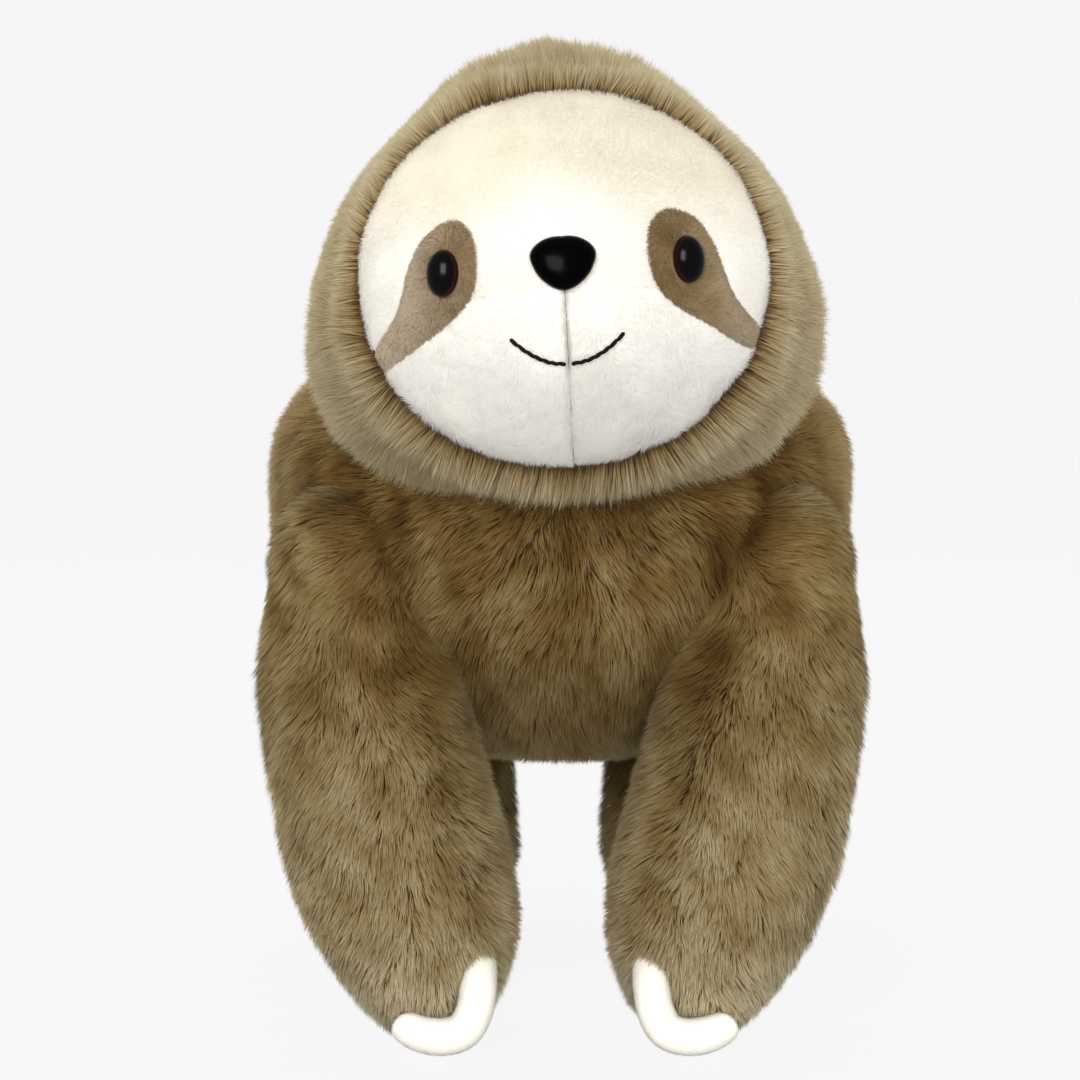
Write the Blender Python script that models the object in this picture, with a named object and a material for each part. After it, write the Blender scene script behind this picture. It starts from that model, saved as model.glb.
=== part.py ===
"""Plush sloth standing on its four paws, as it is sewn and stuffed.

Skins are shells cut from one form each, with the stuffing and the pellet
pouches lying inside them, and safety eyes and a nose whose posts go through
the face to washers behind it. Metres, +Z up, the face looks along -Y, and the
origin is on the floor under the middle of the toy.
"""

import math

import bmesh
import bpy
from mathutils import Euler, Matrix, Vector

# Limbs. The paws stand on the floor, so a limb's length is its joint's height.
ARM_LENGTH = 0.225
ARM_ROOT_RADIUS = 0.043
ARM_WIDTH = 0.107
ARM_DEPTH = 0.091
ARM_LEAN_IN = 0.0395
ARM_REACH_FORWARD = 0.056
SHOULDER_SPREAD = 0.104
LEG_LENGTH = 0.120
LEG_ROOT_RADIUS = 0.0425
LEG_WIDTH = 0.086
LEG_DEPTH = 0.088
LEG_LEAN_IN = 0.003
LEG_REACH_FORWARD = 0.004
HIP_SPREAD = 0.0705
HIP_BEHIND_SHOULDER = 0.145
ARM_SWING_BACK = math.radians(8)
ARM_SWING_FORWARD = math.radians(60)
LEG_SWING = math.radians(25)

# Torso, from the chest's front to the rump, along Y.
TORSO_HALF_WIDTH = 0.1525
TORSO_RISE = 0.088
TORSO_DROP = 0.1465
CHEST_AHEAD_OF_SHOULDER = 0.065
RUMP_BEHIND_SHOULDER = 0.235
CHEST_OVER_SHOULDER = 0.008
RUMP_OVER_HIP = 0.054
SPINE_ARCH = 0.055
TORSO_FULLNESS = 2.3

# Head, with its middle given from the shoulder joints.
HEAD_WIDTH = 0.247
HEAD_HEIGHT = 0.2234
HEAD_OVER_SHOULDER = 0.1435
HEAD_AHEAD_OF_SHOULDER = 0.015
HEAD_ROLL = math.radians(-3.3)
HEAD_TURN = math.radians(20)
MUZZLE_BUMP = 0.014
MUZZLE_SPREAD = 0.055
MUZZLE_BELOW_MIDDLE = 0.008
FACE_RIM_SHARE = 0.772
HEAD_ROOM = 0.0030

# Neck: the collar between the torso's bore and the head's opening.
NECK_RADIUS = 0.034
NECK_THICKNESS = 0.0105
NECK_OPENING_RADIUS = 0.020

# Fabric, with its backing and the packed roots of its pile.
SKIN = 0.0035
FACE_FABRIC = 0.0025
SEAM_GAP = 0.0003
SEAT_GAP = 0.0003
STUFFING_GAP = 0.0006
JOINT_GAP = 0.0006
SWING_GAP = 0.0008
OVERRUN = 0.010

# Limb inside: where the skin is left open and where the pellets begin.
ARM_OPENING_RADIUS = 0.017
LEG_OPENING_RADIUS = 0.017
PAW_POUCH_HEIGHT = 0.034
FOOT_POUCH_HEIGHT = 0.030
SEAT_POUCH_LENGTH = 0.060

# Face, from the middle of the head, before the head is rolled.
EYE_OUT = 0.0554
EYE_UP = 0.0064
EYE_WIDTH = 0.0170
EYE_HEIGHT = 0.0228
EYE_DOME = 0.0068
EYE_RIM = 0.0014
EYE_POST_RADIUS = 0.0025
EYE_POST_LENGTH = 0.0120
EYE_WASHER_RADIUS = 0.0085
EYE_WASHER = 0.0016
PATCH_OUT = 0.0880
PATCH_UP = 0.0300
PATCH_MIDDLE_SHARE = 0.7
NOSE_WIDTH = 0.0300
NOSE_HEIGHT = 0.0254
NOSE_THICKNESS = 0.0085
NOSE_UP = 0.0085
NOSE_POST_RADIUS = 0.0025
NOSE_POST_LENGTH = 0.0110
NOSE_WASHER_RADIUS = 0.0080
NOSE_WASHER = 0.0016
HOLE_CLEARANCE = 0.0003
MOUTH_HALF_WIDTH = 0.0255
MOUTH_END_DOWN = 0.0238
MOUTH_SAG = 0.0125
THREAD_RADIUS = 0.0010
SEAM_START_RADIUS = 0.0026

# Claws: a stuffed hook that comes out of the paw's front and curls outwards.
CLAW_RADIUS = 0.0087
CLAW_WIDTH = 0.0390
CLAW_HEIGHT = 0.0270
CLAW_OFF_FLOOR = 0.0006
CLAW_INSIDE_PAW_MIDDLE = 0.0245
CLAW_AHEAD_OF_PAW = 0.0310
CLAW_HOOK_FORWARD = 0.0075
FOOT_CLAW_SCALE = 0.88

SEGMENTS_FOREHEAD = 18
SEGMENTS_MUZZLE = 5
SEGMENTS_TORSO = 28
SEGMENTS_LIMB = 14
SEGMENTS_EYE = 16
SEGMENTS_NOSE = 20
SEGMENTS_WASHER = 14
SWING_STEP = math.radians(8)
ROWS_FACE = 7
ROWS_HEAD = 9
ROWS_AHEAD = 9
ROWS_BEHIND = 5

# Tables of shares. Each first value is a place along the piece, from 0 to 1.
# Swell of the torso: place from chest to rump, width, rise, drop.
TORSO_SHARES = (
    (0.0, 0.98, 0.86, 0.88),
    (0.2, 0.92, 0.82, 0.90),
    (0.35, 0.965, 0.87, 1.03),
    (0.5, 1.0, 1.0, 1.0),
    (0.65, 1.05, 1.04, 0.93),
    (0.8, 1.10, 1.14, 0.88),
    (1.0, 1.08, 1.14, 0.86),
)
# Limb: height down from the joint, lean in, reach forward, width, depth.
ARM_SHARES = (
    (0.0, 0.0, 0.0, 0.8037, 0.9451),
    (0.13, 0.03, 0.28, 0.860, 0.956),
    (0.29, 0.14, 0.50, 0.920, 0.978),
    (0.49, 0.40, 0.68, 0.977, 1.0),
    (0.66, 0.63, 0.80, 1.0, 1.0),
    (0.80, 0.82, 0.90, 0.90, 0.94),
    (0.92, 0.95, 0.97, 0.655, 0.76),
    (0.975, 0.99, 0.99, 0.45, 0.56),
    (1.0, 1.0, 1.0, 0.27, 0.32),
)
LEG_SHARES = (
    (0.0, 0.0, 0.0, 0.9884, 0.9659),
    (0.25, 0.2, 0.1, 0.985, 0.98),
    (0.50, 0.5, 0.4, 1.0, 1.0),
    (0.70, 0.8, 0.8, 0.95, 0.98),
    (0.87, 1.0, 1.0, 0.73, 0.80),
    (0.955, 1.0, 1.0, 0.50, 0.58),
    (1.0, 1.0, 1.0, 0.32, 0.38),
)
# Head outline: angle from the crown over a half turn, reach past the oval.
HEAD_OUTLINE_SHARES = (
    (0.0, 1.0),
    (0.055, 0.965),
    (0.11, 0.925),
    (0.22, 0.905),
    (0.33, 0.92),
    (0.44, 0.955),
    (0.5, 0.985),
    (0.58, 1.03),
    (0.67, 1.055),
    (0.77, 1.055),
    (0.83, 1.03),
    (0.87, 1.0),
    (0.92, 1.0),
    (1.0, 1.0),
)
# Seam between forehead and muzzle: share of the face's reach, half turns.
CHEEK_SEAM_SHARES = (
    (0.0, 0.55),
    (0.42, 0.541),
    (0.55, 0.556),
    (0.68, 0.588),
    (0.84, 0.615),
    (1.0, 0.627),
)
# Eye patch outline: shares of how far out and how far up it reaches.
PATCH_OUTLINE_SHARES = (
    (0.570, 0.97),
    (0.489, 0.86),
    (0.450, 0.62),
    (0.452, 0.20),
    (0.506, -0.22),
    (0.682, -0.65),
    (0.960, -1.22),
    (1.090, -1.33),
    (1.062, -1.10),
    (0.881, -0.38),
    (0.795, 0.28),
    (0.699, 0.76),
)
# Nose outline: angle from the top over a half turn, reach past the oval.
NOSE_OUTLINE_SHARES = (
    (0.0, 0.93),
    (0.22, 1.02),
    (0.38, 1.04),
    (0.55, 0.90),
    (0.75, 0.86),
    (1.0, 0.97),
)
# Mouth: place from the middle seam to the corner, share of the sag.
MOUTH_SHARES = (
    (0.035, 0.97),
    (0.20, 1.0),
    (0.37, 0.86),
    (0.55, 0.62),
    (0.74, 0.30),
    (0.88, 0.12),
    (1.0, 0.0),
)
# Claw: across, up, forward, girth, from the paw to the tip.
CLAW_SHARES = (
    (-0.02, 1.22, -2.9, 0.80),
    (0.0, 1.04, -1.3, 0.96),
    (0.01, 0.80, 0.0, 1.0),
    (0.05, 0.46, 0.7, 1.0),
    (0.18, 0.13, 1.0, 1.0),
    (0.42, 0.0, 0.95, 1.0),
    (0.68, 0.02, 0.7, 0.98),
    (0.88, 0.12, 0.4, 0.88),
    (0.98, 0.20, 0.2, 0.62),
    (1.02, 0.24, 0.1, 0.0),
)
# Way to a limb's root opening, inwards, back and up.
ARM_OPENING_WAY_SHARES = (0.35, 0.85, 0.1)
LEG_OPENING_WAY_SHARES = (0.2, 0.0, 1.0)
# Rows of a limb: height down from the joint, above and inside the pouch.
LIMB_ROW_SHARES = (0.0, 0.12, 0.25, 0.39, 0.53, 0.66, 0.76)
POUCH_ROW_SHARES = (0.0, 0.32, 0.60, 0.82, 0.94, 1.0)

SHOULDER_HEIGHT = ARM_LENGTH
HIP_HEIGHT = LEG_LENGTH
HEAD_REACH = HEAD_HEIGHT / 2
MUZZLE_FRONT = HEAD_AHEAD_OF_SHOULDER + HEAD_REACH + MUZZLE_BUMP
# The shoulder joints' Y, which sets the nose and the rump equally far out.
SHOULDER_Y = (MUZZLE_FRONT + NOSE_THICKNESS - RUMP_BEHIND_SHOULDER) / 2
HIP_Y = SHOULDER_Y + HIP_BEHIND_SHOULDER
HEAD_MIDDLE = Vector(
    (0, SHOULDER_Y - HEAD_AHEAD_OF_SHOULDER, SHOULDER_HEIGHT + HEAD_OVER_SHOULDER)
)
STEP_SHARE = 1e-3
# How far along a limb's form its side ends and its flat sole begins.
SOLE_SHARE = 0.94


def share_curve(table, place):
    """Values of a table of shares at a place, on a smooth curve through its rows."""
    last = len(table) - 1
    i = 0
    while i < last - 1 and place > table[i + 1][0]:
        i += 1
    start, end = table[i], table[i + 1]
    before, after = table[max(i - 1, 0)], table[min(i + 2, last)]
    length = end[0] - start[0]
    x = min(max((place - start[0]) / length, 0), 1)
    values = []
    for k in range(1, len(start)):
        rise_in = (end[k] - before[k]) / (end[0] - before[0]) * length
        rise_out = (after[k] - start[k]) / (after[0] - start[0]) * length
        values.append(
            start[k] * (1 + 2 * x) * (1 - x) ** 2
            + rise_in * x * (1 - x) ** 2
            + end[k] * x * x * (3 - 2 * x)
            + rise_out * x * x * (x - 1)
        )
    return values


def ease(start, end, value):
    """0 at start, 1 at end, smooth between them."""
    x = min(max((value - start) / (end - start), 0), 1)
    return x * x * (3 - 2 * x)


class Form:
    """A swelling surface: u runs from its first pole to its last, t goes round.

    t turns clockwise seen from the first pole, so that the step round crossed
    with the step along points out.
    """

    first = last = Vector((0, 1, 0))

    def point(self, u, t):
        raise NotImplementedError

    def normal(self, u, t):
        u0, u1 = max(u - STEP_SHARE, 0), min(u + STEP_SHARE, 1)
        along = self.point(u1, t) - self.point(u0, t)
        middle = min(max(u, STEP_SHARE), 1 - STEP_SHARE)
        around = self.point(middle, t + STEP_SHARE) - self.point(
            middle, t - STEP_SHARE
        )
        if u <= 0:
            return -self.first
        if u >= 1:
            return self.last.copy()
        return around.cross(along).normalized()

    def inset(self, u, t, depth):
        return self.point(u, t) - self.normal(u, t) * depth


class HeadForm(Form):
    """The head round its own middle: front pole at the muzzle, u by angle."""

    def outline(self, u, t):
        turn = abs((t / math.pi + 1) % 2 - 1)
        oval = 1 / math.hypot(
            math.sin(t) / (HEAD_WIDTH / 2), math.cos(t) / HEAD_REACH
        )
        (reach,) = share_curve(HEAD_OUTLINE_SHARES, turn)
        weight = ease(0.28, 0.44, u) * (1 - ease(0.62, 1.0, u) * 0.5)
        return oval * (1 + (reach - 1) * weight)

    def point(self, u, t):
        reach = self.outline(u, t) * math.sin(math.pi * u)
        x, z = reach * math.sin(t), reach * math.cos(t)
        y = -HEAD_REACH * math.cos(math.pi * u)
        if u < 0.5:
            from_muzzle = x * x + (z + MUZZLE_BELOW_MIDDLE) ** 2
            y -= MUZZLE_BUMP * math.exp(-from_muzzle / MUZZLE_SPREAD**2)
        return Vector((x, y, z))

    def reach_along(self, way):
        """How far the head reaches along a unit vector, without the muzzle's bump."""
        t, side = math.atan2(way.x, way.z), math.hypot(way.x, way.z)
        u = 0.5
        for _ in range(5):
            across = side / self.outline(u, t)
            u = math.atan2(across, -way.y / HEAD_REACH) / math.pi
        return 1 / math.hypot(side / self.outline(u, t), way.y / HEAD_REACH)

    def on_face(self, x, z, proud):
        """The point of the face at x and z, moved out by proud, and its normal."""
        t = math.atan2(x, z)
        share = math.hypot(x / (HEAD_WIDTH / 2), z / HEAD_REACH)
        u = math.asin(share) / math.pi
        normal = self.normal(u, t)
        return self.point(u, t) + normal * proud, normal


class TorsoForm(Form):
    """The torso in the toy's frame, from the chest's front to the rump."""

    def point(self, u, t):
        angle = math.pi * u
        along = (1 - math.cos(angle)) / 2
        y = (
            SHOULDER_Y
            - CHEST_AHEAD_OF_SHOULDER
            + along * (CHEST_AHEAD_OF_SHOULDER + RUMP_BEHIND_SHOULDER)
        )
        front = SHOULDER_HEIGHT + CHEST_OVER_SHOULDER
        back = HIP_HEIGHT + RUMP_OVER_HIP
        spine = front + (back - front) * along
        spine += SPINE_ARCH * math.sin(math.pi * along) ** 0.8
        wide, rise, drop = share_curve(TORSO_SHARES, u)
        swell = math.sin(angle)
        across, up = math.sin(t), math.cos(t)
        x = math.copysign(abs(across) ** (2 / TORSO_FULLNESS), across)
        z = math.copysign(abs(up) ** (2 / TORSO_FULLNESS), up)
        x *= TORSO_HALF_WIDTH * wide * swell
        z *= (TORSO_RISE * rise if up > 0 else TORSO_DROP * drop) * swell
        return Vector((x, y, spine + z))

    def place_of(self, y):
        """u at a place along Y."""
        length = CHEST_AHEAD_OF_SHOULDER + RUMP_BEHIND_SHOULDER
        along = (y - SHOULDER_Y + CHEST_AHEAD_OF_SHOULDER) / length
        return math.acos(1 - 2 * along) / math.pi


class LimbForm(Form):
    """A limb hanging from its joint at the origin, its lean towards -X.

    Its root is half a ball round the joint, and its sole is flat.
    """

    first = last = Vector((0, 0, -1))

    def __init__(self, length, root, width, depth, lean, reach, shares, side):
        self.length, self.root, self.width, self.depth = length, root, width, depth
        self.lean, self.reach, self.shares, self.side = lean, reach, shares, side
        self.ball_share = root / (root + length)

    def station(self, down):
        lean, reach, width, depth = share_curve(self.shares, down / self.length)
        return (
            -self.side * self.lean * lean,
            -self.reach * reach,
            self.width / 2 * width,
            self.depth / 2 * depth,
        )

    def point(self, u, t):
        if u < self.ball_share:
            turn = u / self.ball_share * math.pi / 2
            middle_x = middle_y = 0.0
            wide = deep = self.root * math.sin(turn)
            z = self.root * math.cos(turn)
        else:
            along = (u - self.ball_share) / (1 - self.ball_share)
            down = self.length * min(along / SOLE_SHARE, 1)
            z = -down
            middle_x, middle_y, wide, deep = self.station(down)
            if along > SOLE_SHARE:
                left = (1 - along) / (1 - SOLE_SHARE)
                wide, deep = wide * left, deep * left
        return Vector(
            (
                middle_x + wide * math.cos(t),
                middle_y - deep * math.sin(t),
                z,
            )
        )

    def place_at(self, down):
        """u at a depth below the joint."""
        return self.ball_share + (1 - self.ball_share) * SOLE_SHARE * down / self.length


def material(name, colour, roughness):
    finish = bpy.data.materials.new(name)
    finish.use_nodes = True
    shader = finish.node_tree.nodes["Principled BSDF"]
    shader.inputs["Base Color"].default_value = (*colour, 1)
    shader.inputs["Roughness"].default_value = roughness
    shader.inputs["Metallic"].default_value = 0.0
    return finish


def rounds(count, start=0.0, end=2 * math.pi, closed=True):
    """Angles round a form. A closed round leaves out its last angle."""
    steps = count if closed else count - 1
    return [start + (end - start) * i / steps for i in range(count)]


def vertex_rows(bm, rows):
    """Vertices of rows of points. A row whose points are one is a pole."""
    made = []
    for row in rows:
        pole = all((point - row[0]).length < 1e-7 for point in row)
        made.append([bm.verts.new(p) for p in (row[:1] if pole else row)])
    return made


def bridge(bm, first, second, closed, flip=False):
    """Faces between two rows of vertices, either of which may be a pole.

    Each quad is split along the same diagonal, so that nested skins nest.
    """
    count = max(len(first), len(second))
    for i in range(count if closed else count - 1):
        j = (i + 1) % count
        a, b = (first[k if len(first) > 1 else 0] for k in (i, j))
        c, d = (second[k if len(second) > 1 else 0] for k in (j, i))
        for corners in ((a, b, c), (a, c, d)):
            if len(set(corners)) == 3:
                bm.faces.new(corners[::-1] if flip else corners)


def finished(name, bm, finish, cutter=False):
    """An object of a closed bmesh, shaded smooth over its round faces."""
    mesh = bpy.data.meshes.new(name)
    bm.to_mesh(mesh)
    bm.free()
    mesh.shade_smooth()
    mesh.set_sharp_from_angle(angle=math.radians(40))
    made = bpy.data.objects.new(name, mesh)
    bpy.context.scene.collection.objects.link(made)
    if cutter:
        made.hide_render = True
        made.display_type = "WIRE"
    else:
        mesh.materials.append(finish)
    return made


def solid(name, rows, finish=None, cutter=False):
    """A closed body lofted through rows, with flat ends where they aren't poles."""
    bm = bmesh.new()
    made = vertex_rows(bm, rows)
    for first, second in zip(made, made[1:]):
        bridge(bm, first, second, closed=True)
    if len(made[0]) > 1:
        bm.faces.new(made[0][::-1])
    if len(made[-1]) > 1:
        bm.faces.new(made[-1])
    bmesh.ops.recalc_face_normals(bm, faces=bm.faces)
    return finished(name, bm, finish, cutter)


def shell(name, form, places, angles_at, depth, finish, closed=True, top=0.0):
    """A skin cut from a form, from its surface less top down to depth below."""
    bm = bmesh.new()
    outer = vertex_rows(
        bm, [[form.inset(u, t, top) for t in angles_at(u)] for u in places]
    )
    inner = vertex_rows(
        bm, [[form.inset(u, t, depth) for t in angles_at(u)] for u in places]
    )
    for i in range(len(places) - 1):
        bridge(bm, outer[i], outer[i + 1], closed)
        bridge(bm, inner[i], inner[i + 1], closed, flip=True)
    if len(outer[0]) > 1:
        bridge(bm, inner[0], outer[0], closed)
    if len(outer[-1]) > 1:
        bridge(bm, outer[-1], inner[-1], closed)
    if not closed:
        for side in (0, -1):
            out_edge = [row[side if len(row) > 1 else 0] for row in outer]
            in_edge = [row[side if len(row) > 1 else 0] for row in inner]
            bridge(bm, out_edge, in_edge, closed=False, flip=side == -1)
    return finished(name, bm, finish)


def filled(name, form, places, angles, depth, finish=None, cutter=False):
    """The body inside a form, depth below its surface."""
    rows = [[form.inset(u, t, depth) for t in angles] for u in places]
    return solid(name, rows, finish, cutter)


def turned(name, profile, segments, finish=None, cutter=False):
    """A body turned about Z from (radius, height) points, top to bottom."""
    rows = [
        [Vector((r * math.cos(t), -r * math.sin(t), z)) for t in rounds(segments)]
        for r, z in profile
    ]
    return solid(name, rows, finish, cutter)


def cylinder(name, radius, bottom, top, segments=24):
    """A cutter about Z."""
    return turned(
        name, [(radius, top), (radius, bottom)], segments, cutter=True
    )


def boolean(made, other, operation="DIFFERENCE"):
    modifier = made.modifiers.new(other.name, "BOOLEAN")
    modifier.operation = operation
    modifier.object = other
    modifier.solver = "EXACT"


def place(made, parent, location=(0, 0, 0), rotation=None):
    made.parent = parent
    made.location = location
    if rotation is not None:
        made.rotation_euler = rotation
    return made


def frame_at(name, location, parent=None, rotation=(0, 0, 0)):
    frame = bpy.data.objects.new(name, None)
    frame.empty_display_size = ARM_ROOT_RADIUS
    bpy.context.scene.collection.objects.link(frame)
    return place(frame, parent, location, rotation)


def spaced(start, end, count):
    return [start + (end - start) * i / (count - 1) for i in range(count)]


FUR = FACE = PATCH = GLOSS = CLAW = THREAD = FIBRE = PELLETS = PLASTIC = None


def make_materials():
    global FUR, FACE, PATCH, GLOSS, CLAW, THREAD, FIBRE, PELLETS, PLASTIC
    FUR = material("taupe_fur", (0.27, 0.21, 0.13), 0.95)
    FACE = material("cream_plush", (0.90, 0.86, 0.78), 0.9)
    PATCH = material("brown_plush", (0.34, 0.25, 0.17), 0.9)
    GLOSS = material("black_gloss", (0.008, 0.006, 0.006), 0.06)
    CLAW = material("white_plush", (0.93, 0.90, 0.84), 0.9)
    THREAD = material("black_thread", (0.01, 0.01, 0.01), 0.7)
    FIBRE = material("polyester_fibre", (0.85, 0.85, 0.85), 1.0)
    PELLETS = material("pellet_pouch", (0.6, 0.6, 0.62), 0.8)
    PLASTIC = material("white_plastic", (0.75, 0.75, 0.75), 0.4)


# Head


def cheek_seam(u):
    """Angle from the crown to the seam under the eye, on the right side."""
    share = math.sin(math.pi * u) / FACE_RIM_SHARE
    return math.pi * share_curve(CHEEK_SEAM_SHARES, share)[0]


def beside_seam(u, angle, side):
    """An angle moved half a seam's gap off the seam at that angle."""
    reach = HEAD_REACH * math.sin(math.pi * u)
    return angle + side * math.asin(SEAM_GAP / 2 / reach)


def forehead_angles(u):
    end = beside_seam(u, cheek_seam(u), -1)
    return rounds(SEGMENTS_FOREHEAD + 1, -end, end, closed=False)


def muzzle_angles(side):
    def angles(u):
        start = beside_seam(u, cheek_seam(u), 1)
        end = beside_seam(u, math.pi, -1)
        found = rounds(SEGMENTS_MUZZLE + 1, start, end, closed=False)
        return found if side > 0 else [-t for t in reversed(found)]

    return angles


def head_angles(u=0.0):
    """Angles round the head, with the face's columns where they meet its rim."""
    seam = math.pi * CHEEK_SEAM_SHARES[-1][1]
    top = rounds(SEGMENTS_FOREHEAD + 1, -seam, seam, closed=False)
    low = rounds(SEGMENTS_MUZZLE * 2 + 1, seam, 2 * math.pi - seam, closed=False)
    return top + low[1:-1]


def patch_prism(name, side, grown):
    """The eye patch's outline run through the face, grown by a seam's gap."""
    count = len(PATCH_OUTLINE_SHARES)
    middle = Vector((PATCH_MIDDLE_SHARE * PATCH_OUT, 0))
    ring = []
    for i in range(count):
        before, start, end, after = (
            Vector(PATCH_OUTLINE_SHARES[(i + k) % count]) for k in (-1, 0, 1, 2)
        )
        for step in range(3):
            x = step / 3
            share = (
                start * 2
                + (end - before) * x
                + (before * 2 - start * 5 + end * 4 - after) * x * x
                + (start * 3 - before - end * 3 + after) * x**3
            ) / 2
            flat = Vector((share.x * PATCH_OUT, share.y * PATCH_UP))
            flat += (flat - middle).normalized() * grown
            ring.append((side * flat.x, flat.y))
    front = -(HEAD_REACH + MUZZLE_BUMP + OVERRUN)
    rows = [[Vector((x, y, z)) for x, z in ring] for y in (front, 0)]
    return solid(name, rows, cutter=True)


def axis_frame(point, normal):
    """Matrix that puts +Z along normal at point."""
    turn = normal.to_track_quat("Z", "Y").to_matrix().to_4x4()
    return Matrix.Translation(point) @ turn


def face_heights(form, seat, radius, depth):
    """Heights of the face, depth below its surface, over a disc of a seat frame."""
    spot, normal = seat.translation, seat.col[2].to_3d()
    heights = []
    for t in rounds(24):
        for share in (0.0, 0.35, 0.7, 1.0):
            reach = Vector((math.cos(t), math.sin(t), 0)) * radius * share
            near = seat @ reach
            touched, _ = form.on_face(near.x, near.z, -depth)
            heights.append((touched - spot).dot(normal))
    return heights


def eye_seat(form, side):
    """The eye's frame: its flat back clears the patch all round by the seat gap."""
    spot, normal = form.on_face(side * EYE_OUT, EYE_UP, 0)
    proud = max(face_heights(form, axis_frame(spot, normal), EYE_HEIGHT / 2, 0))
    return axis_frame(spot + normal * (proud + SEAT_GAP), normal)


def make_eye(name, form, side, head):
    """A domed safety eye with its post, and the washer behind the face."""
    seat = eye_seat(form, side)
    profile = [(0, 0, EYE_DOME + EYE_RIM)]
    for i in range(1, 6):
        turn = math.pi / 2 * i / 5
        across = math.sin(turn) / 2
        height = EYE_RIM + EYE_DOME * math.cos(turn)
        profile.append((EYE_WIDTH * across, EYE_HEIGHT * across, height))
    profile += [
        (EYE_WIDTH / 2, EYE_HEIGHT / 2, 0),
        (EYE_POST_RADIUS, EYE_POST_RADIUS, 0),
        (EYE_POST_RADIUS, EYE_POST_RADIUS, -EYE_POST_LENGTH),
        (0, 0, -EYE_POST_LENGTH),
    ]
    rows = [
        [
            Vector((wide * math.cos(t), -tall * math.sin(t), z))
            for t in rounds(SEGMENTS_EYE)
        ]
        for wide, tall, z in profile
    ]
    eye = solid(f"eye_{name}", rows, GLOSS)
    eye.parent = head
    eye.matrix_local = seat
    under = face_heights(form, seat, EYE_WASHER_RADIUS, FACE_FABRIC)
    behind = min(under) - STUFFING_GAP
    hole = EYE_POST_RADIUS + HOLE_CLEARANCE
    washer = ring_washer(
        f"eye_washer_{name}", EYE_WASHER_RADIUS, hole, behind, EYE_WASHER
    )
    washer.parent = head
    washer.matrix_local = seat
    room = cylinder(
        f"cut_eye_{name}",
        EYE_WASHER_RADIUS + HOLE_CLEARANCE,
        -EYE_POST_LENGTH - HOLE_CLEARANCE,
        OVERRUN,
    )
    room.parent = head
    room.matrix_local = seat
    post = cylinder(f"cut_eye_post_{name}", hole, -OVERRUN, OVERRUN, 16)
    post.parent = head
    post.matrix_local = seat
    return room, post


def ring_washer(name, radius, hole, top, thickness):
    """A flat washer about Z with its hole, turned as a closed ring."""
    bm = bmesh.new()
    low = top - thickness
    section = [(hole, top), (radius, top), (radius, low), (hole, low)]
    rings = [
        [bm.verts.new((r * math.cos(t), -r * math.sin(t), z)) for t in rounds(SEGMENTS_WASHER)]
        for r, z in section
    ]
    for first, second in zip(rings, rings[1:] + rings[:1]):
        bridge(bm, first, second, closed=True)
    bmesh.ops.recalc_face_normals(bm, faces=bm.faces)
    return finished(name, bm, PLASTIC)


def make_nose(form, head):
    """The glossy nose: a domed pad that follows the muzzle, with its post."""
    middle, _ = form.on_face(0, NOSE_UP, 0)
    rows = []

    def outline(t, share):
        turn = abs((t / math.pi + 1) % 2 - 1)
        (reach,) = share_curve(NOSE_OUTLINE_SHARES, turn)
        reach *= share
        return (
            NOSE_WIDTH / 2 * reach * math.sin(t),
            NOSE_UP + NOSE_HEIGHT / 2 * reach * math.cos(t),
        )

    angles = rounds(SEGMENTS_NOSE)
    back = {}
    for share in (1.0, 0.6):
        back[share] = []
        for t in angles:
            x, z = outline(t, share)
            spot, _ = form.on_face(x, z, 0)
            back[share].append(Vector((x, spot.y - SEAT_GAP, z)))
    for step in range(6):
        turn = math.pi / 2 * step / 5
        across, out = math.sin(turn) ** 0.8, math.cos(turn) ** 0.9
        row = []
        for i, t in enumerate(angles):
            x, z = outline(t, across)
            rim = back[1.0][i].y
            lift = NOSE_THICKNESS * (0.22 + 0.78 * out)
            blend = middle.y + (rim - middle.y) * across
            row.append(Vector((x, blend - lift, z)))
        rows.append(row)
    rows.append(back[1.0])
    rows.append(back[0.6])
    for depth in (-SEAT_GAP, NOSE_POST_LENGTH):
        rows.append(
            [
                Vector(
                    (
                        NOSE_POST_RADIUS * math.sin(t),
                        middle.y + depth,
                        NOSE_UP + NOSE_POST_RADIUS * math.cos(t),
                    )
                )
                for t in angles
            ]
        )
    place(solid("nose", rows, GLOSS), head)
    seat = axis_frame(Vector((0, middle.y, NOSE_UP)), Vector((0, -1, 0)))
    hole = NOSE_POST_RADIUS + HOLE_CLEARANCE
    under = face_heights(form, seat, NOSE_WASHER_RADIUS, FACE_FABRIC)
    behind = min(under) - STUFFING_GAP
    washer = ring_washer("nose_washer", NOSE_WASHER_RADIUS, hole, behind, NOSE_WASHER)
    washer.parent = head
    washer.matrix_local = seat
    room = cylinder(
        "cut_nose",
        NOSE_WASHER_RADIUS + HOLE_CLEARANCE,
        -NOSE_POST_LENGTH - HOLE_CLEARANCE,
        OVERRUN,
    )
    room.parent = head
    room.matrix_local = seat
    post = cylinder("cut_nose_post", hole, -OVERRUN, OVERRUN, 16)
    post.parent = head
    post.matrix_local = seat
    return room, post


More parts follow.
